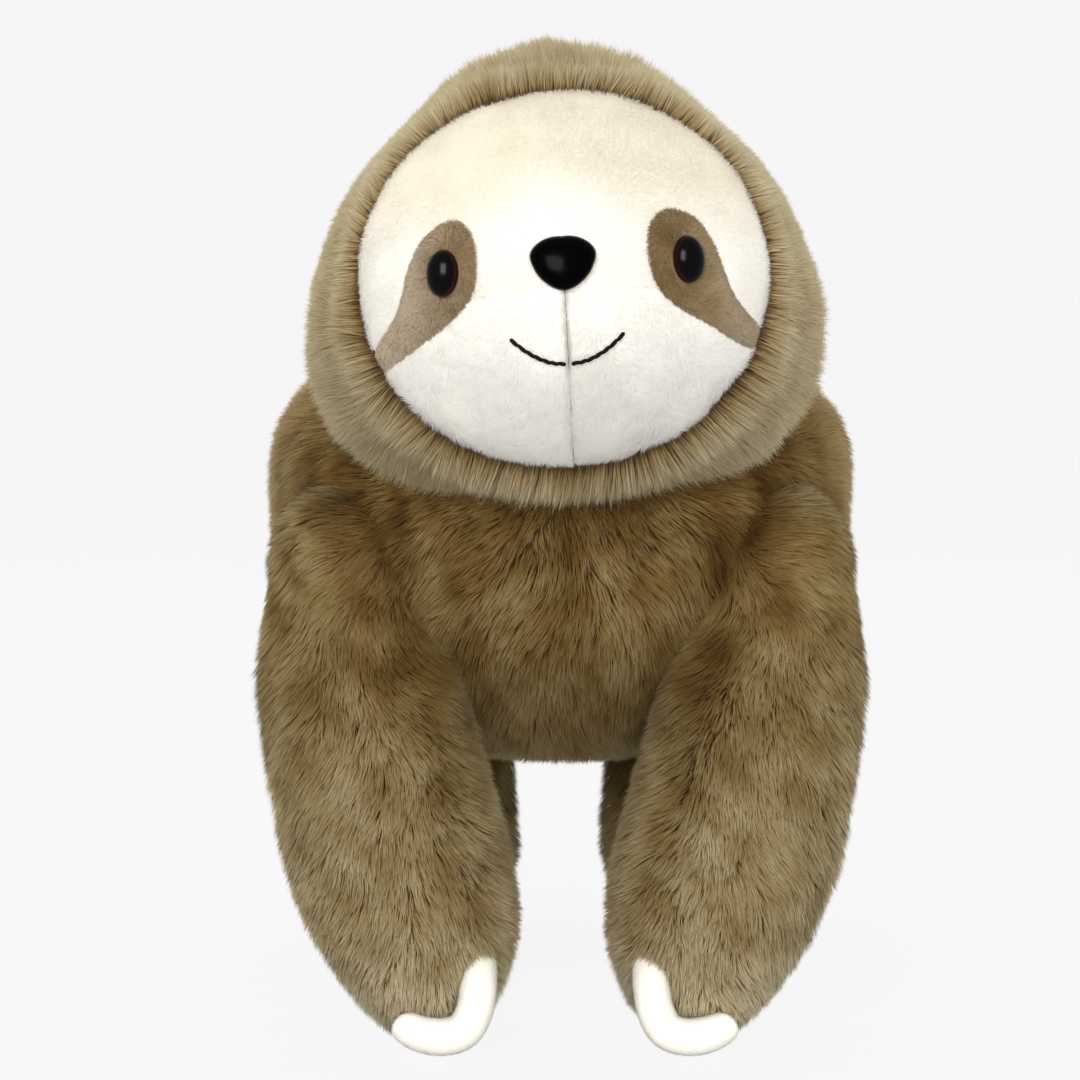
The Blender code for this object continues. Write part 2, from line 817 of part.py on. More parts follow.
def make_mouth(form, side, head):
    """One half of the smile: a thread laid on the muzzle from the seam out."""
    thread = bpy.data.curves.new("mouth_thread", "CURVE")
    thread.dimensions = "3D"
    thread.bevel_depth = THREAD_RADIUS
    thread.bevel_resolution = 1
    thread.use_fill_caps = True
    spline = thread.splines.new("POLY")
    spline.points.add(len(MOUTH_SHARES) * 2 - 2)
    for i in range(len(spline.points)):
        at = i / (len(spline.points) - 1)
        start, end = MOUTH_SHARES[0][0], MOUTH_SHARES[-1][0]
        place_share = start + (end - start) * at
        (sag,) = share_curve(MOUTH_SHARES, place_share)
        x = side * MOUTH_HALF_WIDTH * place_share
        z = -MOUTH_END_DOWN - MOUTH_SAG * sag
        spot, _ = form.on_face(x, z, THREAD_RADIUS + SEAT_GAP)
        spline.points[i].co = (*spot, 1)
    thread.materials.append(THREAD)
    name = "mouth_stitch_right" if side > 0 else "mouth_stitch_left"
    made = bpy.data.objects.new(name, thread)
    bpy.context.scene.collection.objects.link(made)
    place(made, head)


def make_head(root):
    form = HeadForm()
    turn = frame_at("head_turn_joint", HEAD_MIDDLE, root)
    nod = frame_at("head_nod_joint", (0, 0, 0), turn)
    head = frame_at("head", (0, 0, 0), nod, Euler((0, HEAD_ROLL, 0)))

    rim = math.asin(FACE_RIM_SHARE) / math.pi
    half_gap = SEAM_GAP / 2 / (math.pi * HEAD_REACH)
    start = math.asin(SEAM_START_RADIUS / HEAD_REACH) / math.pi
    face_rows = spaced(start, rim - half_gap, ROWS_FACE)
    head_rows = spaced(rim + half_gap, 1, ROWS_HEAD)

    skin = shell(
        "head_skin", form, head_rows, head_angles, SKIN, FUR
    )
    place(skin, head)
    opening = cylinder("cut_neck_opening", NECK_OPENING_RADIUS, -OVERRUN, OVERRUN)
    place(opening, head, (0, 0, -HEAD_REACH))
    boolean(skin, opening)

    forehead = shell(
        "face_forehead", form, face_rows, forehead_angles, FACE_FABRIC, FACE, False
    )
    place(forehead, head)
    for side, name in ((-1, "left"), (1, "right")):
        muzzle = shell(
            f"muzzle_{name}",
            form,
            face_rows,
            muzzle_angles(side),
            FACE_FABRIC,
            FACE,
            False,
        )
        place(muzzle, head)

    stuffing = filled(
        "head_stuffing",
        form,
        [0.0] + face_rows[1:-1] + head_rows,
        head_angles(),
        SKIN + STUFFING_GAP,
        FIBRE,
    )
    place(stuffing, head)

    for side, name in ((-1, "left"), (1, "right")):
        outline = patch_prism(f"cut_patch_{name}", side, 0)
        around = patch_prism(f"cut_patch_seam_{name}", side, SEAM_GAP)
        place(outline, head)
        place(around, head)
        patch = shell(
            f"eye_patch_{name}",
            form,
            face_rows,
            forehead_angles,
            FACE_FABRIC,
            PATCH,
            False,
        )
        place(patch, head)
        boolean(patch, outline, "INTERSECT")
        boolean(forehead, around)
        room, post = make_eye(name, form, side, head)
        boolean(patch, post)
        boolean(stuffing, room)
        make_mouth(form, side, head)
    room, post = make_nose(form, head)
    boolean(forehead, post)
    boolean(stuffing, room)


# Torso and neck


def make_neck(root):
    """The collar: flat in the torso's bore, hollowed to the head on top."""
    edge = math.asin(NECK_RADIUS / HEAD_REACH) + abs(HEAD_ROLL)
    seat = JOINT_GAP + 1 / math.hypot(
        math.sin(edge) / (HEAD_WIDTH / 2), math.cos(edge) / HEAD_REACH
    )
    bottom = -HEAD_REACH - NECK_THICKNESS
    profile = []
    for i in range(6):
        reach = (NECK_RADIUS - SEAT_GAP) * i / 5
        profile.append((reach, -math.sqrt(seat * seat - reach * reach)))
    profile.append((NECK_RADIUS - SEAT_GAP, bottom + SEAT_GAP))
    profile.append((0, bottom + SEAT_GAP))
    place(turned("neck", profile, 28, FUR), root, HEAD_MIDDLE)
    bore = cylinder("cut_neck_bore", NECK_RADIUS, bottom, 0, 28)
    return place(bore, root, HEAD_MIDDLE)


def make_torso(root, cutters):
    form = TorsoForm()
    rump = SHOULDER_Y + RUMP_BEHIND_SHOULDER
    split = form.place_of(rump - SEAT_POUCH_LENGTH)
    ahead = spaced(0, split, ROWS_AHEAD)
    behind = spaced(split, 1, ROWS_BEHIND)
    rows = ahead + behind[1:]
    half = SEGMENTS_TORSO // 2 + 1

    def over(u):
        return rounds(half, -math.pi / 2, math.pi / 2, closed=False)

    def under(u):
        return rounds(half, math.pi / 2, 3 * math.pi / 2, closed=False)

    back = shell("torso_back_panel", form, rows, over, SKIN, FUR, False)
    belly = shell("torso_belly_panel", form, rows, under, SKIN, FUR, False)
    place(back, root, (0, 0, SEAM_GAP / 2))
    place(belly, root, (0, 0, -SEAM_GAP / 2))

    depth = SKIN + STUFFING_GAP
    gap = SEAT_GAP / (CHEST_AHEAD_OF_SHOULDER + RUMP_BEHIND_SHOULDER)
    stuffing = filled(
        "torso_stuffing",
        form,
        ahead[:-1] + [split - gap],
        rounds(SEGMENTS_TORSO),
        depth,
        FIBRE,
    )
    pouch = filled(
        "seat_pouch",
        form,
        [split + gap] + behind[1:],
        rounds(SEGMENTS_TORSO),
        depth,
        PELLETS,
    )
    place(stuffing, root)
    place(pouch, root)
    for cutter in cutters:
        for made in (back, belly, stuffing, pouch):
            boolean(made, cutter)


def head_room(root):
    """The hollow that the turning head needs in the torso's top."""
    form = HeadForm()
    turns = [HEAD_TURN * share for share in (-1, -0.5, 0, 0.5, 1)]
    upright = [
        (Euler((0, HEAD_ROLL, 0)).to_matrix().inverted())
        @ Euler((0, 0, -turn)).to_matrix()
        for turn in turns
    ]
    rows = []
    for polar in rounds(15, 0, math.pi, closed=False):
        row = []
        for t in rounds(SEGMENTS_TORSO):
            way = Vector(
                (
                    math.sin(polar) * math.cos(t),
                    -math.sin(polar) * math.sin(t),
                    math.cos(polar),
                )
            )
            reach = max(form.reach_along(back @ way) for back in upright)
            row.append(way * (reach + HEAD_ROOM))
        rows.append(row)
    return place(solid("cut_head_room", rows, cutter=True), root, HEAD_MIDDLE)


# Limbs


def limb_form(kind, side):
    if kind == "arm":
        return LimbForm(
            ARM_LENGTH,
            ARM_ROOT_RADIUS,
            ARM_WIDTH,
            ARM_DEPTH,
            ARM_LEAN_IN,
            ARM_REACH_FORWARD,
            ARM_SHARES,
            side,
        )
    return LimbForm(
        LEG_LENGTH,
        LEG_ROOT_RADIUS,
        LEG_WIDTH,
        LEG_DEPTH,
        LEG_LEAN_IN,
        LEG_REACH_FORWARD,
        LEG_SHARES,
        side,
    )


def claw_rows(form, side, scale):
    """Rings along the claw's hook, in the limb's frame."""
    floor = -form.length
    paw_x, paw_y, _, _ = form.station(form.length)
    path, girths = [], []
    low = floor + CLAW_OFF_FLOOR + CLAW_RADIUS * scale
    for across, up, forward, girth in CLAW_SHARES:
        path.append(
            Vector(
                (
                    paw_x
                    + side * scale * (CLAW_WIDTH * across - CLAW_INSIDE_PAW_MIDDLE),
                    paw_y - scale * (CLAW_AHEAD_OF_PAW + CLAW_HOOK_FORWARD * forward),
                    low + CLAW_HEIGHT * scale * up,
                )
            )
        )
        girths.append(max(girth, 0.0) * CLAW_RADIUS * scale)
    rows = []
    start = path[1] - path[0]
    side_way = start.cross(Vector((0, 0, 1)))
    side_way = (side_way if side_way.length > 0 else Vector((1, 0, 0))).normalized()
    for i, spot in enumerate(path):
        along = path[min(i + 1, len(path) - 1)] - path[max(i - 1, 0)]
        along.normalize()
        side_way = (side_way - along * side_way.dot(along)).normalized()
        other = along.cross(side_way)
        rows.append(
            [
                spot
                + side_way * girths[i] * math.cos(t)
                + other * girths[i] * math.sin(t)
                for t in rounds(12)
            ]
        )
    return rows


def swing_room(name, form, places, back, forward):
    """The hull of a limb over its whole swing, grown by the swing's gap."""
    bm = bmesh.new()
    for swing in spaced(-back, forward, math.ceil((back + forward) / SWING_STEP) + 1):
        turn = Matrix.Rotation(-swing, 3, "X")
        rows = [
            [turn @ form.inset(u, t, -SWING_GAP) for t in rounds(SEGMENTS_LIMB)]
            for u in places
        ]
        vertex_rows(bm, rows)
    bmesh.ops.convex_hull(bm, input=bm.verts)
    inside = [vert for vert in bm.verts if not vert.link_faces]
    bmesh.ops.delete(bm, geom=inside, context="VERTS")
    return finished(name, bm, None, cutter=True)


def make_limb(kind, side, root):
    """A limb on its joint: skin, stuffing, pouch and claw. Returns its cutters."""
    name = "left" if side < 0 else "right"
    form = limb_form(kind, side)
    if kind == "arm":
        spot = (side * SHOULDER_SPREAD, SHOULDER_Y, SHOULDER_HEIGHT)
        opening, pouch_height, inner = (
            ARM_OPENING_RADIUS,
            PAW_POUCH_HEIGHT,
            ("arm_stuffing", "paw_pouch"),
        )
        swings, claw_scale = (ARM_SWING_BACK, ARM_SWING_FORWARD), 1.0
        way_in = ARM_OPENING_WAY_SHARES
    else:
        spot = (side * HIP_SPREAD, HIP_Y, HIP_HEIGHT)
        opening, pouch_height, inner = (
            LEG_OPENING_RADIUS,
            FOOT_POUCH_HEIGHT,
            ("leg_stuffing", "foot_pouch"),
        )
        swings, claw_scale = (LEG_SWING, LEG_SWING), FOOT_CLAW_SCALE
        way_in = LEG_OPENING_WAY_SHARES
    joint = frame_at(f"{kind}_{name}_joint", spot, root)

    ball = spaced(0, form.ball_share, 4)[:-1]
    top = form.length - pouch_height
    upper = [form.place_at(form.length * share) for share in LIMB_ROW_SHARES]
    split = form.place_at(top)
    lower = [form.place_at(top + pouch_height * share) for share in POUCH_ROW_SHARES]
    upper = [u for u in upper if u < split]
    whole = ball + upper + lower + [1.0]
    skin = shell(
        f"{kind}_skin_{name}",
        form,
        whole,
        lambda u: rounds(SEGMENTS_LIMB),
        SKIN,
        FUR,
    )
    place(skin, joint)
    inwards = Vector((-side * way_in[0], way_in[1], way_in[2]))
    opened = cylinder(
        f"cut_opening_{kind}_{name}", opening, form.root / 2, form.root + OVERRUN, 14
    )
    opened.parent = joint
    opened.matrix_local = axis_frame(Vector((0, 0, 0)), inwards.normalized())
    boolean(skin, opened)

    depth = SKIN + STUFFING_GAP
    gap = form.place_at(SEAT_GAP) - form.ball_share
    stuffing = filled(
        f"{inner[0]}_{name}",
        form,
        ball + upper + [split - gap],
        rounds(SEGMENTS_LIMB),
        depth,
        FIBRE,
    )
    pouch = filled(
        f"{inner[1]}_{name}",
        form,
        [split + gap] + lower[1:] + [1.0],
        rounds(SEGMENTS_LIMB),
        depth,
        PELLETS,
    )
    place(stuffing, joint)
    place(pouch, joint)

    claw_name = "claw" if kind == "arm" else "foot_claw"
    claw = solid(
        f"{claw_name}_{name}", claw_rows(form, side, claw_scale), CLAW
    )
    place(claw, joint)
    around = filled(
        f"cut_paw_{kind}_{name}",
        form,
        whole,
        rounds(SEGMENTS_LIMB),
        -SEAT_GAP,
        cutter=True,
    )
    place(around, joint)
    boolean(claw, around)

    sweep = swing_room(f"cut_sweep_{kind}_{name}", form, whole, *swings)
    return [place(sweep, joint)]


def main():
    for old in list(bpy.data.objects):
        bpy.data.objects.remove(old)
    make_materials()
    root = frame_at("sloth", (0, 0, 0))
    make_head(root)
    cutters = [head_room(root), make_neck(root)]
    for side in (-1, 1):
        for kind in ("arm", "leg"):
            cutters += make_limb(kind, side, root)
    make_torso(root, cutters)


main()
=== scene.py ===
"""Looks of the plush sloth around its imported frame.

The skins are built over the same forms as the solids, and every pile, long on
the body and short on the face, is grown from them as separate strands. Metres,
+Z up, the face looks along -Y, the origin is on the floor.
"""

from __future__ import annotations

import logging
import math
from collections.abc import Callable
from dataclasses import dataclass, field
from enum import Enum, IntEnum

import bpy
import numpy as np
from bpy.types import Material, Node, NodeSocket, NodeTree, Object
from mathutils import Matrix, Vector, kdtree

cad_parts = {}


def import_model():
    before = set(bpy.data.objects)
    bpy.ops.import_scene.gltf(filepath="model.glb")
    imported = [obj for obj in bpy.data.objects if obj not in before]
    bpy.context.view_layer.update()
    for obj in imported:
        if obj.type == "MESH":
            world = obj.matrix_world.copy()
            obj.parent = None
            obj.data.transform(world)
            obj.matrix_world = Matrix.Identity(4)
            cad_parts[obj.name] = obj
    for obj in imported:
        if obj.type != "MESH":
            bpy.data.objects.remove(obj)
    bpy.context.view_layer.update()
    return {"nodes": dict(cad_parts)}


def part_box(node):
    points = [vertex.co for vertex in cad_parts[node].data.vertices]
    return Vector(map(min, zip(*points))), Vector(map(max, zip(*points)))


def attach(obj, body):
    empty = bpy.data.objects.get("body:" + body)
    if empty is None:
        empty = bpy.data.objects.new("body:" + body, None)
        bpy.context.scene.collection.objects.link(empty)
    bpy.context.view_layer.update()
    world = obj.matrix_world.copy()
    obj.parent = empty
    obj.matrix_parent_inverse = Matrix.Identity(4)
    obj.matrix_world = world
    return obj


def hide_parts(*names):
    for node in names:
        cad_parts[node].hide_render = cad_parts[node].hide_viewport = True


LOG = logging.getLogger("plush_sloth")
MM = 0.001
Array = np.ndarray
Comb = Callable[[Array, Array], Array]
Table = tuple[tuple[float, ...], ...]
Span = tuple[float, float]
# Guards against a division by nothing.
TINY = 1e-9
SLIVER = MM / 1000


class Side(Enum):
    """Side of the toy, as someone who looks at its face sees it."""

    LEFT = -1
    RIGHT = 1

    @property
    def word(self) -> str:
        """The side's name, as the nodes use it."""
        return self.name.lower()


class LimbKind(Enum):
    """The two kinds of limb, with the names of their claw and filling."""

    ARM = ("arm", "claw", "paw_pouch")
    LEG = ("leg", "foot_claw", "foot_pouch")

    @property
    def word(self) -> str:
        """The limb's name, as the nodes use it."""
        return self.value[0]

    @property
    def claw(self) -> str:
        """The name of the limb's claw node."""
        return self.value[1]

    @property
    def stuffed(self) -> tuple[str, str, str]:
        """The names of the limb's skin, stuffing and pellet pouch."""
        return f"{self.word}_skin", f"{self.word}_stuffing", self.value[2]


class Wave(IntEnum):
    """Seeds of the slow waves, one for each thing that drifts over the toy."""

    FOREHEAD_TONE = 3
    MUZZLE_TONE = 4
    FACE_COMB = 5
    PATCH_TONE = 8
    FACE_RIPPLE = 11
    HEAD_COMB = 21
    TORSO_COMB = 22
    HEAD_TONE = 31
    TORSO_TONE = 32
    LIMB_TONE = 33
    PARTING = 41
    LIMB_COMB = 42


# Numbers


def share_curve(table: Table, place: Array) -> Array:
    """Reads a table of shares on a smooth curve through its rows.

    Args:
        table: Rows of a place and its values, with the places rising.
        place: Places to read, one for each point.

    Returns:
        One row of values for each place.
    """
    rows = np.asarray(table, float)
    last = len(rows) - 1
    i = np.searchsorted(rows[1:-1, 0], place, side="left")
    start, end = rows[i], rows[i + 1]
    before, after = rows[np.maximum(i - 1, 0)], rows[np.minimum(i + 2, last)]
    length = (end - start)[:, :1]
    x = np.clip((place[:, None] - start[:, :1]) / length, 0, 1)
    rise_in = (end - before) / (end - before)[:, :1] * length
    rise_out = (after - start) / (after - start)[:, :1] * length
    values = (
        start * (1 + 2 * x) * (1 - x) ** 2
        + rise_in * x * (1 - x) ** 2
        + end * x * x * (3 - 2 * x)
        + rise_out * x * x * (x - 1)
    )
    return values[:, 1:]


def ease(start: float, end: float, value: Array) -> Array:
    """Rises smoothly from 0 at start to 1 at end.

    Args:
        start: Value where the rise begins.
        end: Value where it ends.
        value: Values to look up.

    Returns:
        The heights, from 0 to 1.
    """
    x = np.clip((value - start) / (end - start), 0, 1)
    return x * x * (3 - 2 * x)


def unit(vectors: Array) -> Array:
    """Scales each row to length 1."""
    return vectors / np.maximum(np.linalg.norm(vectors, axis=1, keepdims=True), TINY)


def half_turns(angle: Array) -> Array:
    """How far round from the top angles are: 0 there, 1 at the bottom, on both sides."""
    return np.abs((angle / math.pi + 1) % 2 - 1)


WAVES = 7
WAVE_SIZES: Span = (0.7, 1.8)
WAVE_TOTAL = 2.6


def drift(points: Array, size: float, wave: Wave) -> Array:
    """Slow random waves over the points, about from -1 to 1.

    Args:
        points: Where to read them.
        size: Length of a wave in metres.
        wave: Which waves.

    Returns:
        One value for each point.
    """
    rng = np.random.default_rng(int(wave))
    total = np.zeros(len(points))
    for _ in range(WAVES):
        way = rng.normal(size=3)
        way *= 2 * math.pi / (size * rng.uniform(*WAVE_SIZES) * np.linalg.norm(way))
        total += np.sin(points @ way + rng.uniform(0, 2 * math.pi))
    return total / WAVE_TOTAL


def inside_outline(x: Array, z: Array, outline: Array) -> Array:
    """Which points lie inside a closed outline.

    Args:
        x: Places across.
        z: Places up.
        outline: Corners as rows of (x, z).

    Returns:
        True for each point inside.
    """
    found = np.zeros(len(x), bool)
    for (x0, z0), (x1, z1) in zip(outline, np.roll(outline, -1, axis=0)):
        if z0 == z1:
            continue
        crosses = (z0 > z) != (z1 > z)
        found ^= crosses & (x < (x1 - x0) * (z - z0) / (z1 - z0) + x0)
    return found


def outline_distance(x: Array, z: Array, outline: Array) -> Array:
    """How far points lie from a closed outline's edge.

    Args:
        x: Places across.
        z: Places up.
        outline: Corners as rows of (x, z).

    Returns:
        One distance for each point.
    """
    best = np.full(len(x), np.inf)
    spots = np.stack([x, z], axis=1)
    for start, end in zip(outline, np.roll(outline, -1, axis=0)):
        way = end - start
        along = np.clip((spots - start) @ way / max(way @ way, TINY), 0, 1)
        gap = np.linalg.norm(spots - start - along[:, None] * way, axis=1)
        best = np.minimum(best, gap)
    return best


# Forms, the same as the solids'


class Form:
    """A swelling surface: u runs from its first pole to its last, t goes round."""

    def point(self, u: Array, t: Array) -> Array:
        """Points of the surface, one row for each u and t."""
        raise NotImplementedError

    def of_sphere(self, co: Array) -> tuple[Array, Array]:
        """The u and t of points of a unit sphere with poles on Y."""
        u = np.arccos(np.clip(-co[:, 1], -1, 1)) / math.pi
        return u, np.arctan2(co[:, 0], co[:, 2])

    def contains(self, points: Array, grown: float) -> Array:
        """Which points lie inside the form grown by a distance."""
        raise NotImplementedError


@dataclass(frozen=True)
class HeadForm(Form):
    """The head: front pole at the muzzle, back pole behind, rolled a little."""

    width: float = 0.247
    height: float = 0.2234
    middle: tuple[float, float, float] = (0.0, -0.0579, 0.3685)
    roll: float = math.radians(-3.3)
    bump: float = 0.014
    bump_spread: float = 0.055
    bump_below: float = 0.008
    rim_share: float = 0.772
    outline_starts: Span = (0.28, 0.44)
    outline_fades: Span = (0.62, 1.0)
    outline_faded: float = 0.5
    outline_shares: Table = (
        (0.0, 1.0), (0.055, 0.965), (0.11, 0.925), (0.22, 0.905), (0.33, 0.92), (0.44, 0.955),
        (0.5, 0.985), (0.58, 1.03), (0.67, 1.055), (0.77, 1.055), (0.83, 1.03), (0.87, 1.0),
        (0.92, 1.0), (1.0, 1.0),
    )
    cheek_shares: Table = (
        (0.0, 0.55), (0.42, 0.541), (0.55, 0.556), (0.68, 0.588), (0.84, 0.615), (1.0, 0.627)
    )

    @property
    def reach(self) -> float:
        """Half the head's height."""
        return self.height / 2

    @property
    def rim(self) -> float:
        """The u of the seam between face and fur."""
        return math.asin(self.rim_share) / math.pi

    @property
    def turn(self) -> Array:
        """The matrix of the roll."""
        c, s = math.cos(self.roll), math.sin(self.roll)
        return np.array([[c, 0, s], [0, 1, 0], [-s, 0, c]])

    def to_world(self, local: Array) -> Array:
        """Points of the head's own frame, in the toy's."""
        return local @ self.turn.T + np.array(self.middle)

    def to_local(self, world: Array) -> Array:
        """Points of the toy's frame, in the head's own."""
        return (world - np.array(self.middle)) @ self.turn

    def local(self, u: Array, t: Array) -> Array:
        """Points of the surface in the head's own frame.

        Args:
            u: Places from the muzzle's pole to the back pole.
            t: Angles round, from the crown.

        Returns:
            One point for each place.
        """
        oval = 1 / np.hypot(np.sin(t) / (self.width / 2), np.cos(t) / self.reach)
        share = share_curve(self.outline_shares, half_turns(t))[:, 0]
        faded = ease(*self.outline_fades, u) * self.outline_faded
        weight = ease(*self.outline_starts, u) * (1 - faded)
        reach = oval * (1 + (share - 1) * weight) * np.sin(math.pi * u)
        x, z = reach * np.sin(t), reach * np.cos(t)
        y = -self.reach * np.cos(math.pi * u)
        from_muzzle = x * x + (z + self.bump_below) ** 2
        y -= np.where(u < 0.5, self.bump * np.exp(-from_muzzle / self.bump_spread**2), 0)
        return np.stack([x, y, z], axis=1)

    def point(self, u: Array, t: Array) -> Array:
        """Points of the surface, one row for each u and t."""
        return self.to_world(self.local(u, t))

    def share(self, x: Array, z: Array) -> Array:
        """How far x and z are from the face's middle: 1 on the head's outline."""
        return np.hypot(x / (self.width / 2), z / self.reach)

    def across_up(self, world: Array) -> tuple[Array, Array]:
        """The x and z of points of the toy's frame, in the head's own."""
        local = self.to_local(world)
        return local[:, 0], local[:, 2]

    def on_face(self, x: Array, z: Array) -> Array:
        """Points of the face, in the head's own frame, at x and z."""
        u = np.arcsin(np.clip(self.share(x, z), 0, 1)) / math.pi
        return self.local(u, np.arctan2(x, z))

    def cheek(self, u: Array) -> Array:
        """Angle from the crown to the seam under the eye."""
        share = np.clip(np.sin(math.pi * u) / self.rim_share, 0, 1)
        return math.pi * share_curve(self.cheek_shares, share)[:, 0]

    def contains(self, points: Array, grown: float) -> Array:
        """Which points lie inside the head grown by a distance.

        Args:
            points: The points, in the toy's frame.
            grown: The distance.

        Returns:
            True for each point inside.
        """
        local = self.to_local(points)
        size = np.array([self.width / 2, self.reach, self.reach]) + grown
        return ((local / size) ** 2).sum(axis=1) < 1


@dataclass(frozen=True)
class TorsoForm(Form):
    """The torso, from the chest's front to the rump."""

    half_width: float = 0.1525
    rise: float = 0.088
    drop: float = 0.1465
    front: float = -0.1079
    rump: float = 0.1921
    front_height: float = 0.233
    back_height: float = 0.174
    arch: float = 0.055
    arch_power: float = 0.8
    fullness: float = 2.3
    end_gap: float = 0.001
    shares: Table = (
        (0.0, 0.98, 0.86, 0.88), (0.2, 0.92, 0.82, 0.90), (0.35, 0.965, 0.87, 1.03),
        (0.5, 1.0, 1.0, 1.0), (0.65, 1.05, 1.04, 0.93), (0.8, 1.10, 1.14, 0.88),
        (1.0, 1.08, 1.14, 0.86),
    )

    def spine(self, along: Array) -> Array:
        """Height of the torso's middle line at shares of its length."""
        straight = self.front_height + (self.back_height - self.front_height) * along
        return straight + self.arch * np.sin(math.pi * along) ** self.arch_power

    def point(self, u: Array, t: Array) -> Array:
        """Points of the surface.

        Args:
            u: Places from the chest's pole to the rump's.
            t: Angles round, from the back.

        Returns:
            One point for each place.
        """
        along = (1 - np.cos(math.pi * u)) / 2
        y = self.front + along * (self.rump - self.front)
        wide, rise, drop = share_curve(self.shares, u).T
        swell = np.sin(math.pi * u)
        across, up = np.sin(t), np.cos(t)
        x = np.sign(across) * np.abs(across) ** (2 / self.fullness)
        z = np.sign(up) * np.abs(up) ** (2 / self.fullness)
        x = x * self.half_width * wide * swell
        z = z * np.where(up > 0, self.rise * rise, self.drop * drop) * swell
        return np.stack([x, y, self.spine(along) + z], axis=1)

    def contains(self, points: Array, grown: float) -> Array:
        """Which points lie inside the torso grown by a distance.

        Args:
            points: The points.
            grown: The distance, below 0 for a smaller torso.

        Returns:
            True for each point inside.
        """
        length = self.rump - self.front
        along = np.clip((points[:, 1] - self.front) / length, self.end_gap, 1 - self.end_gap)
        u = np.arccos(1 - 2 * along) / math.pi
        wide, rise, drop = share_curve(self.shares, u).T
        swell = np.sin(math.pi * u)
        up = points[:, 2] - self.spine(along)
        tall = np.where(up > 0, self.rise * rise, self.drop * drop) * swell + grown
        half = np.maximum(self.half_width * wide * swell + grown, SLIVER)
        across, over = np.abs(points[:, 0]) / half, np.abs(up) / np.maximum(tall, SLIVER)
        rim = across**self.fullness + over**self.fullness
        outside = (points[:, 1] < self.front - grown) | (points[:, 1] > self.rump + grown)
        return (rim < 1) & ~outside


@dataclass(frozen=True)
class LimbForm(Form):
    """A limb: half a ball round its joint, then a leaning, swelling sleeve."""

    joint: tuple[float, float, float]
    side: Side
    root: float
    width: float
    depth: float
    lean: float
    forward: float
    shares: Table
    sole_share: float = 0.94

    @property
    def length(self) -> float:
        """The joint's height, since the paw stands on the floor."""
        return self.joint[2]

    def station(self, down: Array) -> Array:
        """The sleeve's middle and size at depths below the joint.

        Args:
            down: The depths.

        Returns:
            Rows of middle x, middle y, half width and half depth.
        """
        lean, forward, wide, deep = share_curve(self.shares, down / self.length).T
        return np.stack(
            [
                -self.side.value * self.lean * lean,
                -self.forward * forward,
                self.width / 2 * wide,
                self.depth / 2 * deep,
            ]
        )

    def point(self, u: Array, t: Array) -> Array:
        """Points of the surface.

        Args:
            u: Places from the top of the joint's ball to the middle of the sole.
            t: Angles round, from the right.

        Returns:
            One point for each place.
        """
        ball = self.root / (self.root + self.length)
        turn = np.clip(u / ball, 0, 1) * math.pi / 2
        along = np.clip((u - ball) / (1 - ball), 0, 1)
        down = self.length * np.minimum(along / self.sole_share, 1)
        middle_x, middle_y, wide, deep = self.station(down)
        left = np.clip((1 - along) / (1 - self.sole_share), 0, 1)
        in_ball = u < ball
        swell = np.where(in_ball, self.root * np.sin(turn), wide * left)
        deep = np.where(in_ball, self.root * np.sin(turn), deep * left)
        x = np.where(in_ball, 0, middle_x) + swell * np.cos(t)
        y = np.where(in_ball, 0, middle_y) - deep * np.sin(t)
        z = np.where(in_ball, self.root * np.cos(turn), -down)
        return np.stack([x, y, z], axis=1) + np.array(self.joint)

    def of_sphere(self, co: Array) -> tuple[Array, Array]:
        """The u and t of points of a unit sphere with poles on Z."""
        u = np.arccos(np.clip(co[:, 2], -1, 1)) / math.pi
        return u, np.arctan2(-co[:, 1], co[:, 0])

    def round_angle(self, points: Array) -> Array:
        """Angle round the limb: 0 in front, rising towards the toy's outside.

        Args:
            points: The points.

        Returns:
            One angle for each point.
        """
        local = points - np.array(self.joint)
        down = np.clip(-local[:, 2], 0, self.length)
        middle_x, middle_y, wide, deep = self.station(down)
        across = self.side.value * (local[:, 0] - middle_x) / wide
        return np.arctan2(across, -(local[:, 1] - middle_y) / deep)

    def contains(self, points: Array, grown: float) -> Array:
        """Which points lie inside the limb grown by a distance.

        Args:
            points: The points.
            grown: The distance.

        Returns:
            True for each point inside.
        """
        local = points - np.array(self.joint)
        down = -local[:, 2]
        middle_x, middle_y, wide, deep = self.station(np.clip(down, 0, self.length))
        rim = ((local[:, 0] - middle_x) / (wide + grown)) ** 2
        rim += ((local[:, 1] - middle_y) / (deep + grown)) ** 2
        in_sleeve = (down > 0) & (down < self.length + grown) & (rim < 1)
        return in_sleeve | (np.linalg.norm(local, axis=1) < self.root + grown)


CLOSENESS_STEPS = 6


def closeness(form: Form, points: Array, reach: float) -> Array:
    """How near points are to a form: 0 at the reach or further, 1 at its surface."""
    steps = reach * np.arange(1, CLOSENESS_STEPS + 1) / CLOSENESS_STEPS
    return np.mean([form.contains(points, step) for step in steps], axis=0)


# Finishes


def linear(colour: str) -> tuple[float, float, float, float]:
    """Turns an sRGB hex value to linear.

    Args:
        colour: Six hex digits after a #.

    Returns:
        Red, green, blue and 1.
    """
    parts = (int(colour[i : i + 2], 16) / 255 for i in (1, 3, 5))
    red, green, blue = (c / 12.92 if c <= 0.04045 else ((c + 0.055) / 1.055) ** 2.4 for c in parts)
    return red, green, blue, 1.0


